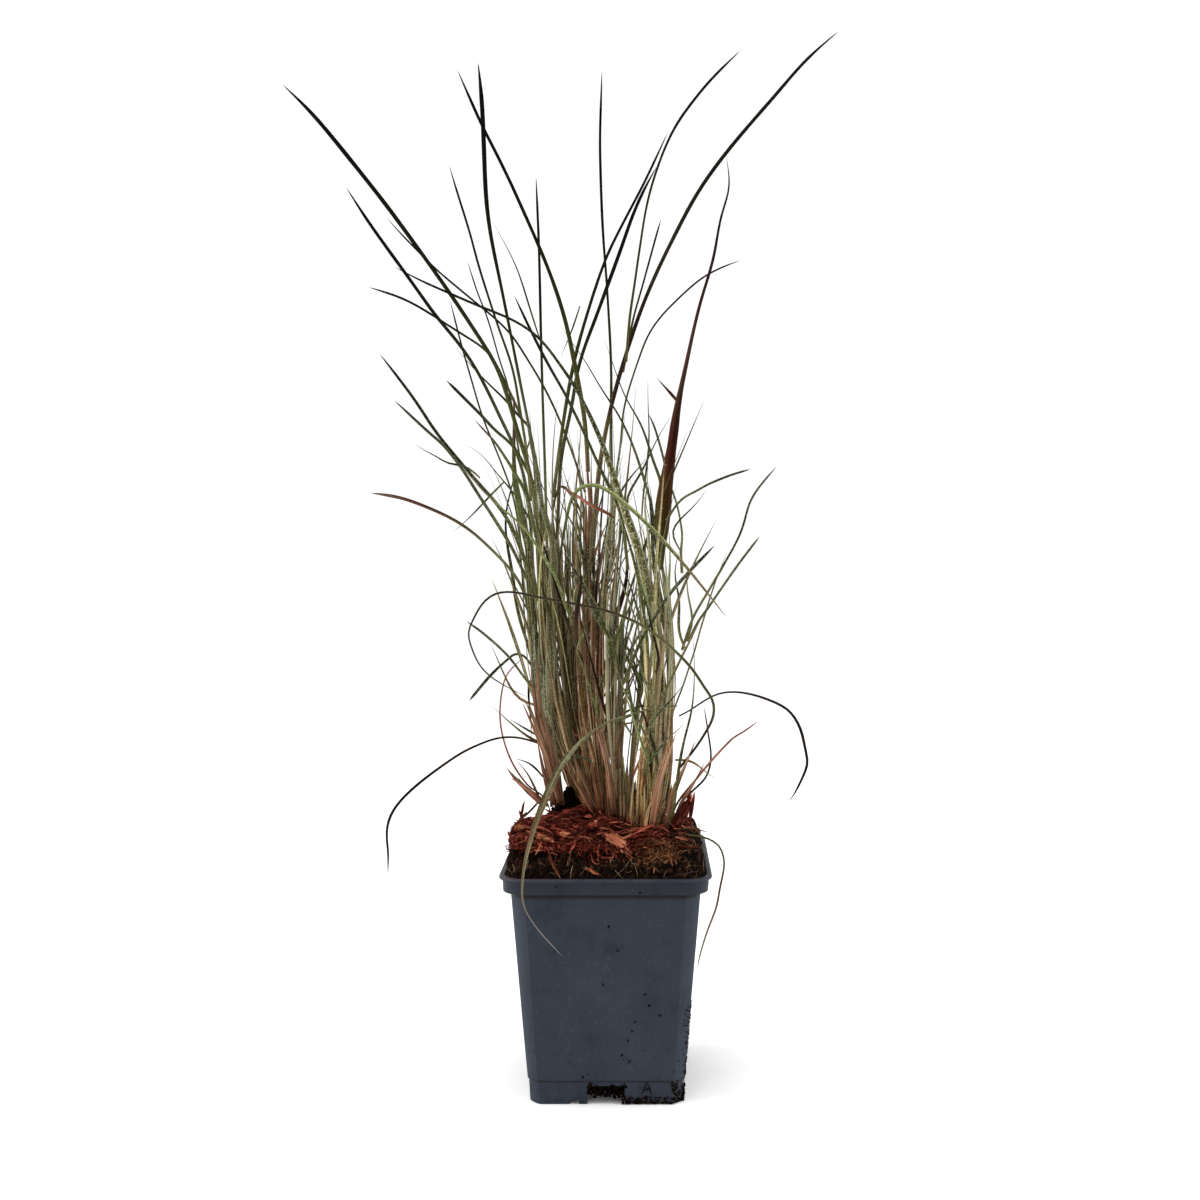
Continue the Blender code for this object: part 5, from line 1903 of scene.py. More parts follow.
SPLINTERS = (
    Splinter(((514, 830), (528, 842)), 2.2),
    Splinter(((520, 829), (524, 818)), 1.6, (1, 7)),
    Splinter(((536, 839), (551, 847)), 2.6, (3, 3), True),
    Splinter(((546, 829), (570, 832)), 2.4),
    Splinter(((555, 835), (579, 831)), 2.0),
    Splinter(((547, 857), (559, 880)), 2.4, (2.5, 1.2), True),
    Splinter(((583, 872), (599, 878)), 1.7, (1.5, 1.5), True),
    Splinter(((610, 840), (628, 860)), 4.0, (3.5, 2), True),
    Splinter(((612, 852), (630, 843)), 3.2, (3, 3), True),
    Splinter(((628, 838), (650, 845)), 2.6, (3, 3), True),
    Splinter(((634, 841), (656, 838)), 2.0, (3, 3)),
    Splinter(((534, 847), (544, 857)), 2.2),
    Splinter(((655, 843), (677, 857)), 1.1, (3, 3), True),
    Splinter(((669, 858), (673, 868)), 1.3, (2, 1.5), True),
    Splinter(((674, 834), (704, 838)), 0.9, (4, 3), True),
    Splinter(((600, 815), (590, 832)), 0.9, (6, 3)),
    Splinter(((640, 850), (664, 872)), 0.8, (2.5, 1.5), True),
    Splinter(((650, 868), (672, 850)), 0.8, (2.5, 2.5), True),
    Splinter(((575, 842), (598, 838)), 2.4),
    Splinter(((584, 850), (607, 846)), 2.2),
    Splinter(((520, 848), (541, 838)), 1.8),
    Splinter(((560, 848), (583, 853)), 2.0),
    Splinter(((542, 831), (566, 829)), 3.0, (3.5, 3.5)),
    Splinter(((548, 834), (564, 837)), 2.0, (3, 3)),
    Splinter(((512, 838), (526, 826)), 3.0, (2, 5)),
    Splinter(((520, 845), (534, 850)), 1.6, (2, 2), True),
    Splinter(((536, 858), (543, 848)), 1.4, (2, 4), True),
    Splinter(((626, 842), (648, 838)), 4.4, (3.5, 4), True),
    Splinter(((611, 832), (624, 836)), 2.2, (3, 3), True),
    Splinter(((594, 828), (612, 833)), 1.8, (3, 3), True),
    Splinter(((578, 843), (592, 846)), 1.0, (3, 3), True),
    Splinter(((561, 822), (580, 820)), 1.2, (3, 3)),
    Splinter(((552, 812), (574, 816)), 1.0, (3, 3)),
    Splinter(((684, 828), (690, 812)), 3.2, (2, 8)),
    Splinter(((690, 826), (695, 809)), 2.0, (2, 9)),
    Splinter(((652, 846), (675, 855)), 1.6, (3, 2.5), True),
    Splinter(((586, 872), (598, 878)), 2.2, (1.8, 1.5), True),
    Splinter(((520, 819), (526, 829)), 2.2, (5, 2), True),
    Splinter(((647, 849), (660, 842)), 1.2, (2.5, 2.5), True),
)


CHIP_TONES = (0.3, 0.55, 0.75, 0.1, 0.5)


@dataclass(frozen=True)
class BarkMulch:
    """Shredded pine bark on the peat: chips, splinters and a mat of fibres."""

    view: PictureView
    ball: RootBall
    fibres: int = 1700
    flakes: int = 700
    bright: int = 150
    slivers: int = 3
    pixel: float = 0.42 * MM
    pale: int = 330
    patch: tuple[float, float, float, float] = (659, 854, 12, 9)
    edge: tuple[float, float, float] = (512, 648, 845)

    def build(self, solids: dict[str, bpy.types.Object]) -> None:
        """Builds chips, splinters and fibres.

        Args:
            solids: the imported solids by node.
        """
        for number in range(1, 6):
            self.chip(number, solids[f"bark_chip_{number:02d}"])
        self.mat()
        self.placed()
        self.litter()
        self.fringe()

    def chip(self, number: int, solid: bpy.types.Object) -> None:
        """Builds a torn chip in place of a solid one.

        Its long, middle and short axes and half-sizes are the solid's. A section
        is a power oval with ridges, pushed by noise that runs along the chip, and
        its ends are torn: each line around ends at its own length.

        Args:
            number: the chip's number.
            solid: the solid chip.
        """
        points, _ = merged(solid)
        centre = (points.max(0) + points.min(0)) / 2
        axes = np.linalg.svd(points - points.mean(0))[2]
        if np.linalg.det(axes) < 0:
            axes[2] = -axes[2]
        local = (points - centre) @ axes.T
        half = np.abs(local).max(0) * 0.98
        along, around = np.linspace(0, 1, 22), np.linspace(0, 2 * np.pi, 29)[:-1]
        u, v = np.meshgrid(along, around, indexing="ij")
        torn = value_noise(np.stack([v * 3, v * 0, v * 0 + number], 2).reshape(-1, 3), 1.0, 5)
        torn = torn.reshape(u.shape)
        swell = np.clip(np.minimum(u, 1 - u) * 9, 0.12, 1) ** 0.5
        power = 0.7
        wide = np.sign(np.cos(v)) * np.abs(np.cos(v)) ** power
        thick = np.sign(np.sin(v)) * np.abs(np.sin(v)) ** power
        ridges = value_noise(
            np.stack([u * 1.6, wide * 4, thick * 2 + number], 2).reshape(-1, 3), 1.0, number
        ).reshape(u.shape)
        reach = (2 * u - 1) * (1 - 0.4 * np.abs(torn) * np.abs(2 * u - 1) ** 2)
        scale = swell * (0.8 + 0.28 * ridges)
        shape = np.stack([reach, wide * scale, thick * scale], 2).reshape(-1, 3) * half
        placed = centre + shape @ axes
        tip = centre + np.array([half[0] * 0.97, 0, 0]) @ axes
        grain = np.stack([shape[:, 1] + shape[:, 2], shape[:, 0], shape[:, 0] * 0 + number], 1)
        share = np.tile([0.0, 0.0, CHIP_TONES[number - 1]], (len(grain), 1))
        surface = Surface(
            np.concatenate([placed, tip[None]]),
            tube_faces(22, 28, True),
            np.concatenate([grain, grain[-1:]]),
            np.concatenate([share, share[-1:]]),
        )
        kind = "fibre" if number == 4 else "bark"
        piece = Piece(f"torn_chip_{number:02d}", "pine_bark", PALETTE[kind])
        piece.add(surface)
        piece.build(solid.name, smooth=False)

    def mat(self) -> None:
        """Scatters fibres and flakes over the mulched part of the top."""
        rng = np.random.default_rng(21)
        for name, kind, count, half, length in (
            ("mulch_fibres", "fibre", self.fibres, (0.1, 0.4), (3, 15)),
            ("mulch_flakes", "fibre", self.flakes, (0.5, 1.6), (3, 12)),
            ("bright_flakes", "bark", self.bright, (0.3, 0.9), (2, 8)),
        ):
            x = rng.uniform(-41, 36, count * 2) * MM
            y = rng.uniform(-40.5, 40, count * 2) * MM
            thin = np.where((x > 8 * MM) & (y > 2 * MM), 0.6, 0.0)
            thin = np.maximum(thin, np.where(y < -37 * MM, 0.75, 0.0))
            thin = np.maximum(thin, 0.9 * smooth_step(17 * MM, 28 * MM, x))
            patch = value_noise(np.stack([x, y, x * 0], 1), 7 * MM, 9)
            bare = rng.uniform(0, 1, count * 2) < np.maximum(thin, 1.4 * patch)
            keep = np.flatnonzero(~bare)[:count]
            x, y, number = x[keep], y[keep], len(keep)
            size = rng.uniform(*half, number) * MM
            long = rng.uniform(*length, number) * MM
            angle = rng.normal(0, 0.6, number)
            slope = rng.normal(0, 0.28, number)
            heading = unit(np.stack([np.cos(angle), np.sin(angle), slope], 1))
            high = self.ball.height(x, y) + rng.uniform(0.2, 2.8, number) ** 1.3 * MM
            bend = rng.normal(0, 0.06, (number, 3)) * long[:, None]
            lines = curved_lines(np.stack([x, y, high], 1), heading, long, 6, bend)
            limit = 41.6 * MM
            lines[..., :2] = np.clip(lines[..., :2], -limit, limit)
            under = self.ball.height(lines[..., 0], lines[..., 1]) - 0.3 * MM
            lines[..., 2] = np.maximum(lines[..., 2], under)
            piece = Piece(name, "pine_bark", PALETTE[kind])
            piece.add(strands(lines, size, 0.25, rng, 0.3))
            piece.build(smooth=False)

    def placed(self) -> None:
        """Lays the splinters that the picture shows one by one.

        A splinter's far end lies no farther back from its near end than 0.7 of its
        length in the picture, so that none runs across the pot.
        """
        rng = np.random.default_rng(22)
        for name, kind, chosen in (
            ("orange_splinters", "bark", [s for s in SPLINTERS if s.orange]),
            ("red_splinters", "fibre", [s for s in SPLINTERS if not s.orange]),
        ):
            pixels = [np.array([s.ends[k] for s in chosen], float) for k in (0, 1)]
            ends = [self.ball.meet(self.view, row) for row in pixels]
            long = np.linalg.norm(pixels[1] - pixels[0], axis=1) * self.pixel
            off = np.clip(ends[1][:, 1] - ends[0][:, 1], -0.7 * long, 0.7 * long)
            ends[1] = self.view.points(pixels[1], ends[0][:, 1] + off)
            for k in (0, 1):
                ends[k][:, 2] += np.array([s.lift[k] for s in chosen]) * MM
            start, stop = (np.repeat(end, self.slivers, 0)[:, None] for end in ends)
            half = np.repeat([s.width / 2 * MM for s in chosen], self.slivers)
            number = len(half)
            low, high = rng.uniform(-0.15, 0.2, (number, 1)), rng.uniform(0.8, 1.15, (number, 1))
            share = (low + (high - low) * np.linspace(0, 1, 9))[..., None]
            lines = start * (1 - share) + stop * share
            lines += rng.normal(0, 0.45, (number, 1, 3)) * half[:, None, None]
            piece = Piece(name, "pine_bark", PALETTE[kind])
            piece.add(strands(lines, half * rng.uniform(0.4, 0.8, number), 0.4, rng, 0.15))
            piece.build(smooth=False)

    def litter(self) -> None:
        """Lays the patch of short pale fibres at the front, right of the middle."""
        rng = np.random.default_rng(23)
        pixels = rng.normal(self.patch[:2], self.patch[2:], (self.pale, 2))
        self.lay("pale_fibres", "litter", pixels, (0.1, 0.3), (1.5, 5.5), rng)

    def fringe(self) -> None:
        """Hangs ragged fibres and flakes over the front edge of the mat.

        A fibre's row is r + e (1 + n(x)), with r the edge's row, e an exponential
        draw and n noise along the edge.
        """
        rng = np.random.default_rng(24)
        left, right, row = self.edge
        for name, kind, count, half, length in (
            ("hanging_fibres", "fibre", 300, (0.15, 0.6), (3, 9)),
            ("hanging_flakes", "bark", 34, (0.3, 0.9), (2, 7)),
        ):
            across = rng.uniform(left, right, count)
            ragged = value_noise(np.stack([across, across * 0, across * 0 + 5], 1), 20.0, 11)
            down = row + np.minimum(rng.exponential(4.0, count) * (1 + 1.4 * ragged), 24)
            self.lay(name, kind, np.stack([across, down], 1), half, length, rng)

    def lay(
        self,
        name: str,
        kind: str,
        pixels: Array,
        half: tuple[float, float],
        length: tuple[float, float],
        rng: np.random.Generator,
    ) -> None:
        """Lays short strands on the root ball where pixels meet it.

        Args:
            name: name of the piece.
            kind: key of its finish.
            pixels: columns and rows of their feet.
            half: least and greatest half-width, in millimetres.
            length: least and greatest length, in millimetres.
            rng: the random draws.
        """
        number = len(pixels)
        spots = self.ball.meet(self.view, pixels)
        spots[:, 2] += rng.uniform(0.2, 1.6, number) * MM
        spots[:, 1] -= rng.uniform(0, 0.8, number) * MM
        long = rng.uniform(*length, number) * MM
        heading = unit(rng.normal(0, 1, (number, 3)) * np.array([1, 0.4, 0.7]))
        bend = rng.normal(0, 0.25, (number, 3)) * long[:, None]
        lines = curved_lines(spots, heading, long, 6, bend)
        lines[..., :2] = np.clip(lines[..., :2], -41.6 * MM, 41.6 * MM)
        piece = Piece(name, "pine_bark", PALETTE[kind])
        piece.add(strands(lines, rng.uniform(*half, number) * MM, 0.5, rng, 0.3))
        piece.build(smooth=False)


# Sheath bundles and blades


class Growth(Enum):
    """What a strand of a tuft is."""

    CORE = "shoot"
    SHEATH = "sheath with its blade"
    BLADE = "leaning blade"
    STUB = "dead sheath at the foot"


@dataclass(frozen=True)
class Bundle:
    """What a sheath bundle carries.

    Attributes:
        node: the solid that it replaces.
        kind: key of its sheaths' finish.
        tips: lowest and highest tip of its inner blades, in millimetres.
        tuft: whether it has strands, or only its short blades.
        counts: how many strands of each growth it has.
        inward: how far its strands lean to the right for each unit of height.
        fillers: how many thinner lines fill the gap to the next bundle.
        low: how many lines of dead sheaths fill the foot of that gap.
        shorts: routes of short blades that grow from it, with their depths.
    """

    node: str
    kind: str = "straw"
    tips: tuple[float, float] = (235, 310)
    tuft: bool = True
    counts: tuple[int, ...] = (4, 8, 5, 3)
    inward: float = 0.0
    fillers: int = 1
    low: int = 0
    shorts: tuple[tuple[Route, tuple[float, ...]], ...] = ()


BUNDLES = (
    Bundle(
        "stem_01",
        tips=(225, 290),
        inward=0.05,
        shorts=(
            (Route(((556, 748), (536, 741), (513, 725), (490, 704)), 2.6), (34, 29, 23, 23)),
            (Route(((540, 706), (522, 700), (503, 672), (490, 642)), 2.6), (34.5, 36, 37, 37)),
        ),
    ),
    Bundle("stem_02", tips=(240, 310), inward=0.02),
    Bundle("stem_03", tips=(240, 310)),
    Bundle("stem_04", tips=(240, 310), fillers=2),
    Bundle("stem_05", "red", tips=(235, 300), fillers=2),
    Bundle("stem_06", "red", counts=(4, 7, 3, 4), low=2),
    Bundle("stem_07", "pale", counts=(4, 6, 2, 5), inward=-0.02, fillers=0, low=3),
    Bundle("stem_08", "pale", (215, 260), counts=(2, 4, 1, 4), inward=0.03, fillers=0, low=2),
    Bundle("stem_09", tips=(225, 280), counts=(3, 5, 2, 6), fillers=0, low=3),
    Bundle("stem_10", "pale", (225, 285), counts=(4, 6, 2, 6), inward=-0.05, low=2),
    Bundle(
        "stem_11",
        tips=(205, 260),
        counts=(2, 4, 1, 4),
        inward=-0.11,
        fillers=0,
        shorts=(
            (Route(((675, 760), (692, 762), (706, 772), (718, 780)), 2.4), (-9, -13, -17, -17)),
        ),
    ),
    Bundle(
        "stem_12",
        "red",
        tuft=False,
        fillers=0,
        shorts=(
            (Route(((545, 806), (534, 796), (520, 783), (506, 767)), 6.0), (26, 27, 28, 28)),
            (Route(((548, 806), (538, 797), (527, 788), (517, 776)), 4.0), (24, 25, 27, 28)),
            (Route(((541, 802), (533, 784), (524, 769), (512, 757)), 2.4), (26, 23, 20, 20)),
            (Route(((539, 801), (527, 814), (513, 826), (504, 838)), 2.2), (26, 19, 13, 13)),
        ),
    ),
)


@dataclass
class SheathBundle:
    """A tuft of shoots wrapped in sheaths that open into blades."""

    bundle: Bundle
    maker: LeafMaker
    number: int
    leaves: list[Surface] = field(default_factory=list)

    def __post_init__(self) -> None:
        """Seeds the tuft's own random numbers."""
        self.rng = np.random.default_rng(100 + self.number)

    def strand(self, line: StemLine, kind: Growth) -> Surface:
        """Builds one strand.

        Its middle runs beside the line, at an angle round it that drifts with
        height and at a share of the line's half-widths. Past the collar it leans
        away by the distance and by its square, and narrows to the blade's width.

        Args:
            line: the line that it follows.
            kind: what it is.

        Returns:
            Its surface.
        """
        rng = self.rng
        foot, head = line.rows[0, 2], line.rows[-1, 2]
        rise = head - foot
        lean = rng.normal(0, 0.04, 2)
        bend = rng.normal(0, 1.0, 2)
        if kind is Growth.CORE:
            start, collar = foot - 1.5 * MM, head
            tip, far = head + rng.uniform(-18, 4) * MM, rng.uniform(0.1, 0.75)
            sheath = blade = rng.uniform(0.28, 0.4) * line.rows[:, 3].mean()
            form = LeafForm(7, 0.0, 1.7 * MM)
        elif kind is Growth.SHEATH:
            start = foot + max(-0.012, rng.uniform(-0.25, 0.3)) * rise
            collar = foot + rng.uniform(0.3, 1.0) * rise
            tip, far = max(rng.uniform(*self.bundle.tips) * MM, collar + 0.02), 0.9
            sheath, blade = rng.uniform(0.6, 1.5) * MM, rng.uniform(0.45, 0.8) * MM
            lean, bend = lean * 0.8, bend * 1.3
            form = LeafForm(5, 0.3, 0.35 * MM)
        elif kind is Growth.BLADE:
            start = collar = foot + rng.uniform(0.1, 0.55) * rise
            tip, far = start + rng.uniform(45, 95) * MM, 1.1
            sheath = blade = rng.uniform(0.5, 0.95) * MM
            lean, bend = lean * 3.4, bend * 1.3
            form = LeafForm(5, 0.4, 0.25 * MM)
        else:
            start = collar = foot - 2 * MM
            tip, far = foot + rng.uniform(8, 30) * MM, 1.25
            sheath = blade = rng.uniform(0.7, 1.7) * MM
            form = LeafForm(5, 0.4, 0.4 * MM)
        height = np.linspace(start, tip, max(12, int((tip - start) / (3.2 * MM))))
        place_on = (height - start) / (tip - start)
        angle = rng.uniform(0, 2 * np.pi) + rng.normal(0, 1.5) * place_on
        out = np.stack([np.cos(angle), np.sin(angle), angle * 0], 1)
        table = line.at(height)
        loose = far * (0.6 + 0.45 * np.clip((height - foot) / rise, 0, 1.2))
        middle = table[:, :3].copy()
        middle[:, :2] += out[:, :2] * table[:, 3:5] * loose[:, None]
        tall = (height - foot)[:, None]
        sway = np.sin(tall * rng.uniform(40, 90, 2) + rng.uniform(0, 6, 2))
        tilt = rng.normal(0, 0.03, 2) + np.array([self.bundle.inward, 0])
        middle[:, :2] += tall * tilt + 0.5 * MM * sway
        over = np.maximum(0, height - collar)[:, None]
        middle[:, :2] += over * lean + over**2 * bend
        half = blade + (sheath - blade) * np.exp(-over[:, 0] / (7 * MM))
        half = half * taper(place_on, 0.7, 0.75)
        across, keel = self.maker.frame(middle, out * np.array([1, 0.6, 1]))
        along = smooth_step(0, 30 * MM, over[:, 0])
        if kind is Growth.BLADE:
            along = along * 0 + 1
        seed = int(rng.integers(1, 9999))
        return form.surface(middle, across, -keel, half, rng.uniform(0, 1), seed, along)

    def build(
        self, solid: bpy.types.Object, lines: list[StemLine], low: list[StemLine]
    ) -> None:
        """Builds the tuft in place of its solid.

        Args:
            solid: the solid bundle; not used.
            lines: its own line first, then those that fill the gap beside it.
            low: lines that carry only dead sheaths at their foot.
        """
        kind = self.bundle.kind
        piece = Piece(f"sheaths_{self.number:02d}", f"{kind}_sheath", PALETTE[kind])
        for order, line in enumerate(lines + low):
            counts = self.bundle.counts if order == 0 else (1, 3, 2, 1)
            counts = counts if order < len(lines) else (0, 0, 0, 4)
            for growth, count in zip(Growth, counts):
                for _ in range(count):
                    surface = self.strand(line, growth)
                    if growth is not Growth.CORE:
                        self.leaves.append(surface)
                    piece.add(surface)
        for route, depth in self.bundle.shorts:
            shown = np.array(depth) * MM
            made = self.maker.along_route(route, shown, self.number * 7, LeafForm(), 0.4)
            piece.add(made)
        piece.build(self.bundle.node)


@dataclass(frozen=True)
class Leaf:
    """How one packed leaf is dressed.

    Attributes:
        kind: key of its finish.
        slot: the record's material slot.
        slim: its width as shares of the solid's, at even places from foot to tip.
    """

    kind: str
    slot: str
    slim: tuple[float, ...] = (0.75, 0.66, 0.62, 0.68, 0.85, 1.1)


GREEN_LEAF = Leaf("green", "green_blade")
LEAVES = {
    12: Leaf("mixed", "dark_red_blade"),
    17: Leaf("pale_blade", "pale_blade", (1.0, 0.9, 0.7, 0.6, 0.8)),
    21: Leaf("flushed", "green_blade"),
    22: Leaf("arched", "purple_blade", (0.6, 0.62, 0.62, 0.56, 0.5, 0.5)),
    23: Leaf("purple", "purple_blade", (0.5, 0.55)),
    24: Leaf("purple", "purple_blade", (0.5, 0.5)),
    28: Leaf("light", "light_green_blade", (0.6, 0.7, 0.6)),
    29: Leaf("brick", "brick_blade", (0.55, 0.55)),
    30: Leaf("purple", "purple_blade", (0.55, 0.6)),
    33: Leaf("brick", "brick_blade", (0.6, 0.6)),
    34: Leaf(
        "ageing", "green_blade", (0.3, 0.26, 0.27, 0.36, 0.72, 0.76, 0.52, 0.32, 0.22, 0.18, 0.3)
    ),
    36: Leaf("ageing", "brick_blade", (0.65, 0.65)),
    40: Leaf("light", "light_green_blade", (0.65, 0.55)),
}
RED_LEAF = 13
RED_ROUTE = Route(
    ((661, 570), (662, 528), (664, 500), (671, 452), (678, 404), (686, 365), (702, 297),
     (714, 255), (722, 214), (729, 187), (727, 161)),
    (4.0, 9.0, 15.0, 18.0, 16.5, 14.0, 12.0, 11.0, 8.5, 6.5, 5.5, 4.8, 4.4, 4.4, 4.2, 4.2, 4.0,
     3.6, 3.0, 2.4, 0.8),
)
RED_DEPTHS = (-16.5, -17.5, -19, -21, -22, -23.5, -27, -30, -33, -35, -36)
RED_SIDE = Route(((679, 403), (672, 395), (664, 386), (656, 377)), 3.4)
RED_SIDE_DEPTHS = (-18, -20, -22, -24)

ROUTES = (
    Route(((614, 517), (603, 511), (589, 504), (574, 494), (561, 487)),
          (2.6, 3.4, 3.6, 3.4, 3, 2.2, 1), "brick", 6, 12, False),
    Route(((608, 660), (610, 635), (616, 616), (624, 591), (627, 572), (626, 553), (624, 538),
           (618, 524)), 5.5, "dark_red"),
    Route(((668, 525), (664, 507), (660, 480), (654, 463), (648, 444), (639, 421), (627, 400),
           (614, 367), (603, 336)), 3.2),
    Route(((655, 540), (650, 500), (643, 476), (637, 457), (627, 432), (616, 411), (601, 388),
           (583, 358), (571, 341), (558, 321)), 2.6),
    Route(((627, 501), (639, 476), (650, 454), (660, 434), (673, 413)), 2.4),
    Route(((622, 490), (641, 465), (650, 454)), 2.2),
    Route(((530, 430), (518, 415), (508, 403), (494, 389), (479, 374), (468, 362), (454, 346)),
          2.4),
    Route(((480, 478), (463, 466), (448, 463), (437, 457), (424, 450), (412, 442)), 2.2),
    Route(((555, 572), (547, 553), (532, 524), (511, 490), (495, 471), (478, 452), (463, 444)),
          2.8),
    Route(((540, 340), (527, 299), (517, 269), (505, 244), (491, 219)), 1.6),
    Route(((664, 828), (676, 790), (686, 733), (691, 713), (694, 686), (694, 653), (692, 630)),
          3.0),
    Route(((643, 499), (646, 473), (649, 438), (648, 400), (648, 374)), 2.0),
    Route(((504, 482), (490, 496), (472, 515), (452, 533)), 2.0),
    Route(((526, 639), (516, 601), (512, 572), (506, 534), (507, 507), (514, 476), (514, 429)),
          3.2),
    Route(((574, 626), (564, 601), (555, 576), (541, 553), (526, 530), (505, 511), (480, 488),
           (459, 463)), 3.4, "light"),
    Route(((605, 600), (607, 560), (609, 532), (612, 505), (611, 470), (611, 430)), 5.0,
          "hairy"),
    Route(((673, 532), (691, 509), (709, 486)), 2.4),
    Route(((692, 622), (689, 600), (687, 582), (689, 557)), 2.6),
    Route(((530, 681), (529, 703), (531, 723), (530, 753)), 2.4, "purple"),
    Route(((545, 738), (560, 736), (573, 735), (588, 738), (603, 743), (613, 746), (621, 751)),
          2.2, "dead", 0, 10),
    Route(((574, 756), (586, 759), (599, 764), (613, 766)), 2.4, "green", 0, 8),
    Route(((621, 718), (628, 729), (636, 742), (639, 758)), 2.8, "light", 0, 8),
    Route(((652, 758), (656, 753), (667, 739), (679, 729), (687, 719)), 2.8, "green", 0, 7),
    Route(((655, 718), (659, 713), (671, 700), (686, 681)), 2.6, "green", 0, 7),
    Route(((580, 306), (570, 335), (560, 358)), 1.6),
    Route(((562, 486), (574, 499), (585, 522), (593, 545), (603, 568)), 2.6),
    Route(((602, 620), (604, 600), (606, 578), (609, 553), (618, 526)), 4.6),
    Route(((666, 639), (668, 591), (670, 553), (668, 524)), 4.0, "hairy"),
    Route(((650, 563), (648, 534), (645, 507), (647, 486), (648, 457)), 3.6, "hairy"),
    Route(((585, 610), (586, 572), (588, 542), (590, 519), (590, 500), (588, 480), (587, 457)),
          (5, 5, 5, 5, 4, 3, 1), "brick"),
    Route(((551, 700), (551, 640), (552, 595), (554, 557), (550, 532), (545, 515), (540, 495),
           (536, 470), (531, 445), (527, 420), (523, 400)), (8, 10, 11, 12, 12, 11, 8, 6, 4, 3, 2),
          "hairy", 4, 11),
    Route(((531, 620), (529, 575), (528, 545), (524, 528), (520, 507), (516, 487), (514, 465),
           (514, 430), (514, 400)), (4, 5, 6, 7, 8, 7, 4, 3, 2), "light", 2, 10),
    Route(((584, 600), (588, 578), (593, 550), (596, 522), (598, 497), (601, 472), (604, 455)),
          3.6),
    Route(((612, 560), (613, 530), (615, 500), (617, 470), (620, 450), (623, 430), (626, 410)),
          4.5, "hairy"),
    Route(((590, 600), (587, 576), (582, 552), (576, 532), (567, 514), (560, 501), (556, 490)),
          3.6),
    Route(((612, 650), (606, 632), (597, 618), (590, 602), (585, 588), (577, 574), (569, 560),
           (560, 549)), 4.0),
    Route(((583, 604), (590, 588), (597, 570), (604, 553), (611, 540), (619, 526)), 3.2),
    Route(((662, 610), (657, 580), (653, 552), (652, 530), (650, 505), (648, 480)), 4.5),
    Route(((527, 645), (524, 610), (522, 580), (522, 540)), 1.6),
    Route(((592, 566), (597, 547), (603, 532), (610, 516)), 3.0, "brick"),
    Route(((645, 640), (640, 618), (634, 598), (628, 580), (621, 565), (616, 553)), 3.2),
    Route(((610, 650), (617, 634), (625, 617), (632, 601), (638, 588), (642, 578)), 3.0, "light"),
    Route(((620, 640), (624, 618), (627, 598), (629, 580), (631, 565)), 3.4, "light"),
    Route(((575, 640), (576, 618), (579, 596), (581, 575), (578, 555)), 4.0, "purple"),
    Route(((597, 650), (597, 620), (596, 595), (598, 570), (601, 550)), 3.6, "purple"),
    Route(((679, 630), (679, 601), (675, 572), (683, 543)), 2.8),
    Route(((541, 803), (530, 792), (518, 783), (511, 777)), 2.4, "brick"),
    Route(((530, 794), (513, 777), (505, 765)), 2.2, "brick"),
    Route(((541, 805), (531, 794), (518, 782), (507, 778)), 2.4, "brick"),
    Route(((543, 777), (530, 764), (513, 758)), 2.2, "purple"),
    Route(((538, 736), (521, 726), (508, 718)), 2.2),
    Route(((588, 737), (605, 727), (630, 716), (655, 708), (677, 703)), 2.8, "light", 0, 8),
    Route(((600, 732), (630, 723), (655, 720), (676, 718)), 2.4, "dead", 0, 7),
    Route(((623, 714), (640, 706), (658, 703), (674, 706)), 2.4, "green", 0, 7),
    Route(((554, 803), (549, 776), (542, 741), (536, 705), (531, 665), (529, 625)),
          (3, 4, 4, 3.5, 3, 1), "hairy", 4, 0, False, 3, 24),
    Route(((557, 803), (551, 778), (545, 745), (540, 710), (537, 670)), (3, 4.5, 4.5, 4, 1),
          "dead", 4, 0, False, 4, 23),
    Route(((562, 803), (556, 775), (549, 740), (544, 700), (541, 660)), (3, 4, 4, 3, 1), "hairy",
          4, 0, False, 3, 22),
    Route(((562, 804), (557, 785), (551, 762), (544, 742), (537, 724), (530, 706)),
          (3, 4.5, 5, 4.5, 3, 1), "dead", 6, 0, False, 4, 21),
    Route(((560, 804), (557, 780), (552, 755), (546, 730), (540, 711)), (3, 4.5, 4, 3, 1), "dead",
          5, 0, False, 3, 21),
    Route(((552, 804), (548, 780), (544, 757), (541, 738)), (3, 4, 4, 3, 1), "dead", 2, 0,
          False, 3, 24),
    Route(((556, 806), (553, 790), (549, 775), (544, 760)), (3, 4, 3, 1), "dead", 0, 0,
          False, 2, 23),
    Route(((612, 812), (610, 784), (607, 764), (603, 744), (600, 726)), (3, 4.4, 4.4, 3, 1),
          "dead", 0, 5, True, 3),
    Route(((598, 812), (590, 795), (580, 775), (570, 752)), (3, 4, 4, 3, 1), "dead", 0, 5,
          True, 2),
    Route(((594, 812), (584, 795), (573, 778), (564, 765)), (3, 5, 6, 3, 1), "dead", 0, 7),
    Route(((600, 813), (597, 790), (593, 765), (588, 740)), (3, 6, 6, 4, 1), "dead", 0, 5),
    Route(((650, 828), (655, 800), (662, 770), (672, 738)), (3, 4, 4, 3, 1), "dead", 0, 4,
          True, 2),
    Route(((664, 828), (672, 800), (684, 768), (694, 744)), (3, 6, 6, 3, 1), "dead", 0, 3),
    Route(((668, 828), (680, 806), (692, 786), (703, 766)), (3, 4, 3, 1), "dead", 0, 2),
)
ROUTE_SLOTS = {
    "green": "green_blade",
    "light": "light_green_blade",
    "hairy": "pale_blade",
    "purple": "purple_blade",
    "dark_red": "dark_red_blade",
    "brick": "brick_blade",
    "dead": "red_sheath",
}


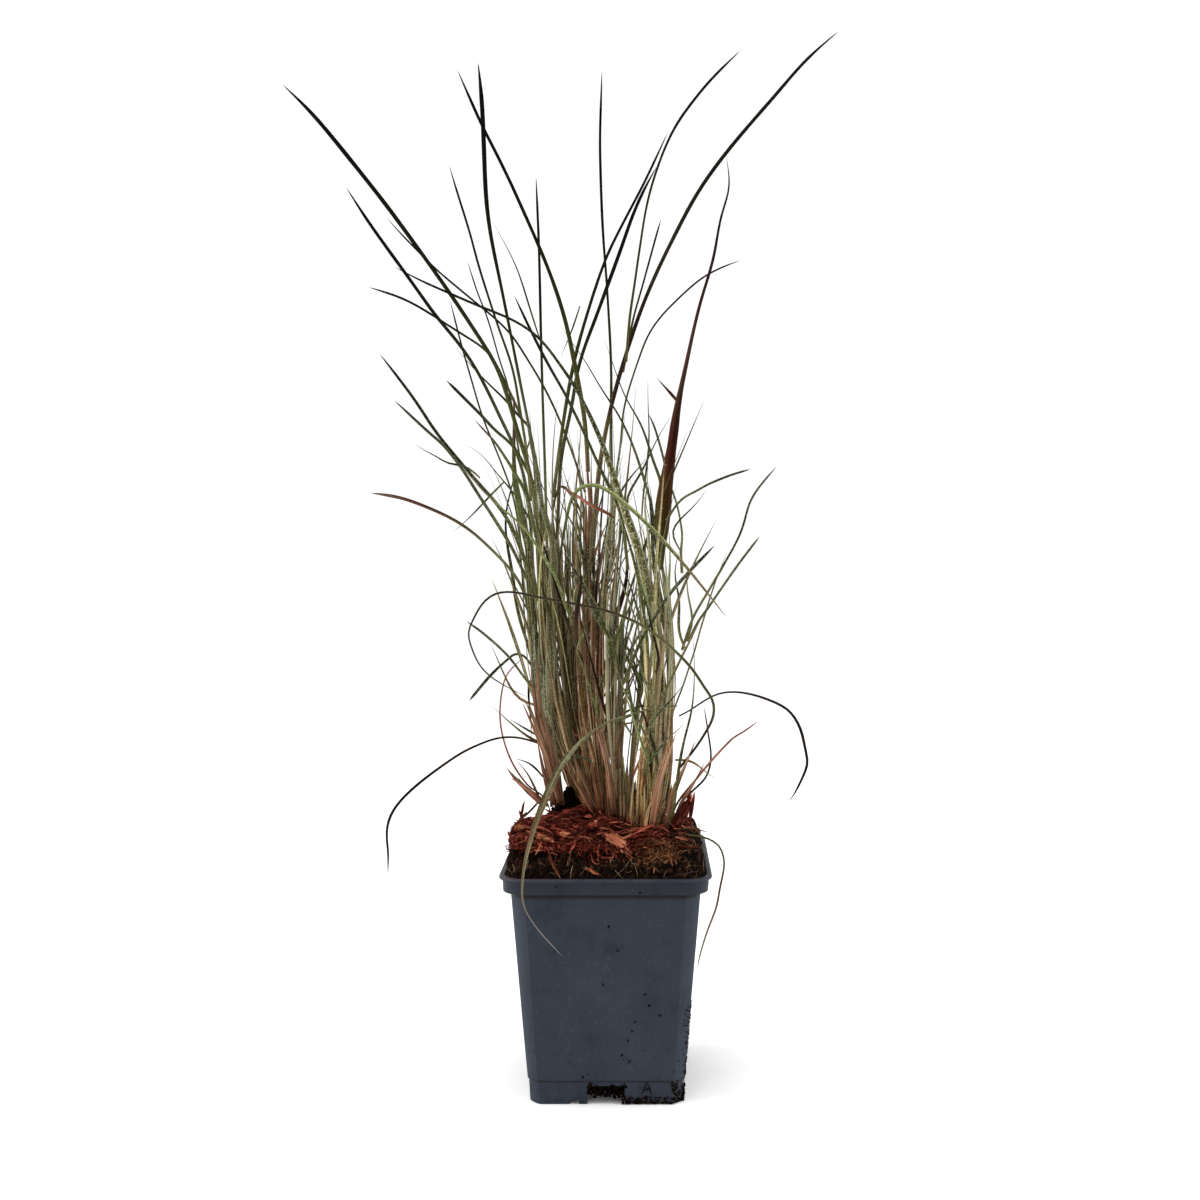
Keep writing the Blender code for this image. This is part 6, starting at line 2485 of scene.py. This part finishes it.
@dataclass
class GrassBlades:
    """The blades: one for each packed leaf, and those that only the looks show."""

    maker: LeafMaker
    solids: dict[str, bpy.types.Object]
    lines: list[StemLine]
    surfaces: list[Surface] = field(default_factory=list)
    packed_points: Array | None = None
    crossing: int = 28

    def build(self) -> None:
        """Builds every blade."""
        for name in sorted(n for n in self.solids if n.startswith("leaf_")):
            number = int(name.split("_")[1])
            if number == RED_LEAF:
                self.red_leaf(name)
            else:
                self.packed(name, number)
        self.loose()

    def packed(self, name: str, number: int) -> None:
        """Dresses one packed leaf.

        Args:
            name: its node.
            number: its number.
        """
        leaf = LEAVES.get(number, GREEN_LEAF)
        rng = np.random.default_rng(number)
        tone = rng.uniform(0.2, 0.8)
        surface = SolidLeaf(self.solids[name]).surface(LeafForm(), tone, number, leaf.slim)
        self.surfaces.append(surface)
        piece = Piece(f"blade_{number:02d}", leaf.slot, PALETTE[leaf.kind])
        piece.add(surface)
        piece.build(name)

    def red_leaf(self, name: str) -> None:
        """Builds the dark red leaf with its side leaf along their routes."""
        piece = Piece(f"blade_{RED_LEAF}", "dark_red_blade", PALETTE["dark_red"])
        for route, depths in ((RED_ROUTE, RED_DEPTHS), (RED_SIDE, RED_SIDE_DEPTHS)):
            depth = np.array(depths) * MM
            piece.add(self.maker.along_route(route, depth, RED_LEAF, LeafForm(), 0.6))
        piece.build(name)

    def behind(self, pixel: tuple[float, float]) -> tuple[float, StemLine, Array]:
        """Finds the bundle behind a pixel.

        Args:
            pixel: column and row.

        Returns:
            How near a bundle comes to the line of sight, its line and its point there.
        """
        eye = np.array(self.maker.view.eye)
        ray = unit(self.maker.view.ray(np.array([pixel], float)))[0]
        found = []
        for line in self.lines:
            points = line.at(np.arange(line.rows[0, 2], line.rows[-1, 2] + 0.05, 2 * MM))[:, :3]
            off = points - eye
            miss = np.linalg.norm(off - (off @ ray)[:, None] * ray, axis=1)
            found.append((float(miss.min()), line, points[np.argmin(miss)]))
        return min(found, key=lambda row: row[0])

    def beside(self, pixel: tuple[float, float]) -> float:
        """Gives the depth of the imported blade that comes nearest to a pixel's line of sight."""
        eye = np.array(self.maker.view.eye)
        ray = unit(self.maker.view.ray(np.array([pixel], float)))[0]
        off = self.packed_points - eye
        miss = np.linalg.norm(off - (off @ ray)[:, None] * ray, axis=1)
        return float(self.packed_points[np.argmin(miss), 1])

    def followed(self) -> list[Route]:
        """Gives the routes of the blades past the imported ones.

        Where leaves follow a route side by side, each one's pixels are p + a + b s,
        with s the share of the way and a and b drawn at random. The thin blades
        that cross the clump run by f + h (c s + d s^2, -s), with f the foot, h the
        height, and the slant c and sway d drawn at random.

        Returns:
            One route for each leaf.
        """
        rng = np.random.default_rng(31)
        found = []
        for route in ROUTES:
            for _ in range(route.strands):
                pixels = np.array(route.pixels, float)
                if route.strands > 1:
                    share = np.linspace(0, 1, len(pixels))[:, None]
                    pixels += rng.normal(0, 1.8, 2) + rng.normal(0, 4.5, 2) * share
                found.append(replace(route, pixels=tuple(map(tuple, pixels))))
        share = np.linspace(0, 1, 6)
        for kind in rng.choice(("green", "light", "brick", "purple"), self.crossing,
                               p=(0.45, 0.3, 0.1, 0.15)):
            foot = rng.uniform((575, 610), (660, 770))
            side = np.sign(605 - foot[0] + rng.normal(0, 45))
            long, slant, sway = rng.uniform((75, 0.15, -0.12), (150, 0.55, 0.12))
            pixels = foot + long * np.stack([side * (slant * share + sway * share**2), -share], 1)
            width, lean, lift = rng.uniform((1.8, -3, 4), (3.0, 9, 11))
            found.append(Route(tuple(map(tuple, pixels)), width, str(kind), lean, lift))
        return found

    def loose(self) -> None:
        """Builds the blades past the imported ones, joined by kind."""
        self.packed_points = np.concatenate([surface.points for surface in self.surfaces])
        routes = self.followed()
        for kind, slot in ROUTE_SLOTS.items():
            piece = Piece(f"inner_{kind}_leaves", slot, PALETTE[kind])
            for number, route in enumerate(routes):
                if route.kind != kind:
                    continue
                miss, line, point = self.behind(route.pixels[0])
                foot = point[1] - route.lift * MM
                if route.back is not None:
                    foot = route.back * MM
                elif miss >= 5 * MM:
                    foot = self.beside(route.pixels[0])
                depth = foot - np.linspace(0, route.lean, len(route.pixels)) * MM
                low = max(point[2] - 9 * MM, line.rows[0, 2])
                rooted = route.rooted and route.back is None and miss < 5 * MM
                root = line.at(np.array([low]))[:, :3] if rooted else None
                surface = self.maker.along_route(
                    route, depth, 300 + number, LeafForm(), 0.5, root
                )
                self.surfaces.append(surface)
                piece.add(surface)
            piece.build()


@dataclass(frozen=True)
class BladeHairs:
    """Silvery hairs: short pale strokes across the margins of sheaths and blades."""

    low: float = 150 * MM
    high: float = 300 * MM
    length: tuple[float, float] = (0.5 * MM, 1.3 * MM)
    thickness: float = 0.06 * MM
    around: int = 8

    def build(self, name: str, leaves: list[Surface], count: int) -> None:
        """Sets hairs on leaves between two heights.

        Args:
            name: name of the piece.
            leaves: the surfaces that carry them.
            count: how many hairs.
        """
        rng = np.random.default_rng(count)
        left, right = [], []
        for leaf in leaves:
            rows = leaf.points[:-1].reshape(-1, leaf.around, 3)
            inside = (rows[:, 0, 2] > self.low) & (rows[:, 0, 2] < self.high)
            left.append(rows[inside, 0])
            right.append(rows[inside, leaf.around // 2])
        ends = np.stack([np.concatenate(left), np.concatenate(right)], 1)
        pick = rng.integers(0, len(ends), count)
        side = rng.integers(0, 2, count)
        start = ends[pick, side]
        way = unit(start - ends[pick, 1 - side]) + rng.normal(0, 0.35, (count, 3))
        way = unit(way + np.array([0, 0, 0.25]))
        start = start + np.array([0, 0, 1]) * rng.uniform(-1.5, 1.5, (count, 1)) * MM
        long = rng.uniform(*self.length, count)
        inward = unit(ends[pick, 1 - side] - start) * (0.5 * long)[:, None]
        steps = np.linspace(0, 1, 3)[None, :, None]
        lines = (start + inward)[:, None] + way[:, None] * long[:, None, None] * 1.2 * steps
        piece = Piece(name, "pale_blade", PALETTE["hairs"])
        piece.add(strands(lines, np.full(count, self.thickness), 1.0, rng, 0.5))
        piece.build()


# Studio


@dataclass(frozen=True)
class Softbox:
    """A soft studio light.

    Attributes:
        name: its name.
        place: where it stands, in metres.
        size: side of its square, in metres.
        power: its power in watts.
    """

    name: str
    place: tuple[float, float, float]
    size: float
    power: float


@dataclass(frozen=True)
class Studio:
    """Plain pale floor under soft light from all round."""

    air: float = 1.06
    lights: tuple[Softbox, ...] = (
        Softbox("left_light", (-1.3, -0.15, 0.55), 0.8, 13.0),
        Softbox("right_light", (1.3, -0.15, 0.5), 0.8, 11.0),
        Softbox("top_light", (-0.3, -0.4, 1.5), 0.7, 5.0),
    )

    def build(self) -> None:
        """Builds floor, lights and the light of the air."""
        around = np.linspace(0, 2 * np.pi, 97)[:-1]
        disc = np.stack([12 * np.cos(around), 12 * np.sin(around), around * 0 - 0.0002], 1)
        mesh = bpy.data.meshes.new("studio_floor")
        mesh.from_pydata(disc.tolist(), [], [list(range(96))])
        floor = bpy.data.objects.new("studio_floor", mesh)
        bpy.context.scene.collection.objects.link(floor)
        graph = Graph("white_studio_paper")
        spot = graph.node("TexCoord", {}).outputs["Object"]
        tooth = graph.node("TexNoise", {"Vector": spot, "Scale": 60.0, "Detail": 2.0})
        shade = graph.ramp(tooth.outputs[0], [(0.3, "#f7f7f6"), (0.7, "#fafaf9")])
        mesh.materials.append(graph.finish(Base_Color=shade, Roughness=0.95))
        for light in self.lights:
            data = bpy.data.lights.new(light.name, "AREA")
            data.energy, data.size = light.power, light.size
            lamp = bpy.data.objects.new(light.name, data)
            lamp.location = light.place
            aim = np.array([0, 0, 0.22]) - np.array(light.place)
            flat = math.hypot(aim[0], aim[1])
            lamp.rotation_euler = (
                math.pi / 2 + math.atan2(aim[2], flat), 0, math.atan2(aim[1], aim[0]) - math.pi / 2
            )
            bpy.context.scene.collection.objects.link(lamp)
        world = bpy.data.worlds.new("studio_air")
        world.use_nodes = True
        sky = world.node_tree.nodes["Background"]
        sky.inputs[0].default_value = (1, 1, 1, 1)
        sky.inputs[1].default_value = self.air
        bpy.context.scene.world = world
        bpy.context.scene.view_settings.view_transform = "Standard"


def main() -> None:
    """Loads the frame, builds each sub-assembly in order and notes the sizes."""
    logging.basicConfig(level=logging.INFO, format="%(name)s: %(message)s")
    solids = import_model()["nodes"]
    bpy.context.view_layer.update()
    view = PictureView()
    view.camera()
    Studio().build()
    pot = NurseryPot(view)
    pot.build()
    PotDirt(view, pot).build()
    ball = RootBall(pot)
    ball.build()
    BarkMulch(view, ball).build(solids)
    maker = LeafMaker(view)
    tufts = [SheathBundle(b, maker, k + 1) for k, b in enumerate(BUNDLES)]
    stems = [StemLine.of(solids[b.node]) for b in BUNDLES if b.tuft]
    for tuft, line in zip(tufts, [*stems, None]):
        beside = stems[tuft.number] if tuft.number < len(stems) else None
        fill, low = (
            [line.between(beside, (k + 1) / (count + 1)) for k in range(count)]
            for count in (tuft.bundle.fillers, tuft.bundle.low)
        )
        tuft.build(solids[tuft.bundle.node], ([line] if line else []) + fill, low)
    blades = GrassBlades(maker, solids, stems)
    blades.build()
    hairy = [leaf for tuft in tufts for leaf in tuft.leaves]
    BladeHairs().build("sheath_hairs", hairy, 2600)


if __name__ == "__main__":
    main()
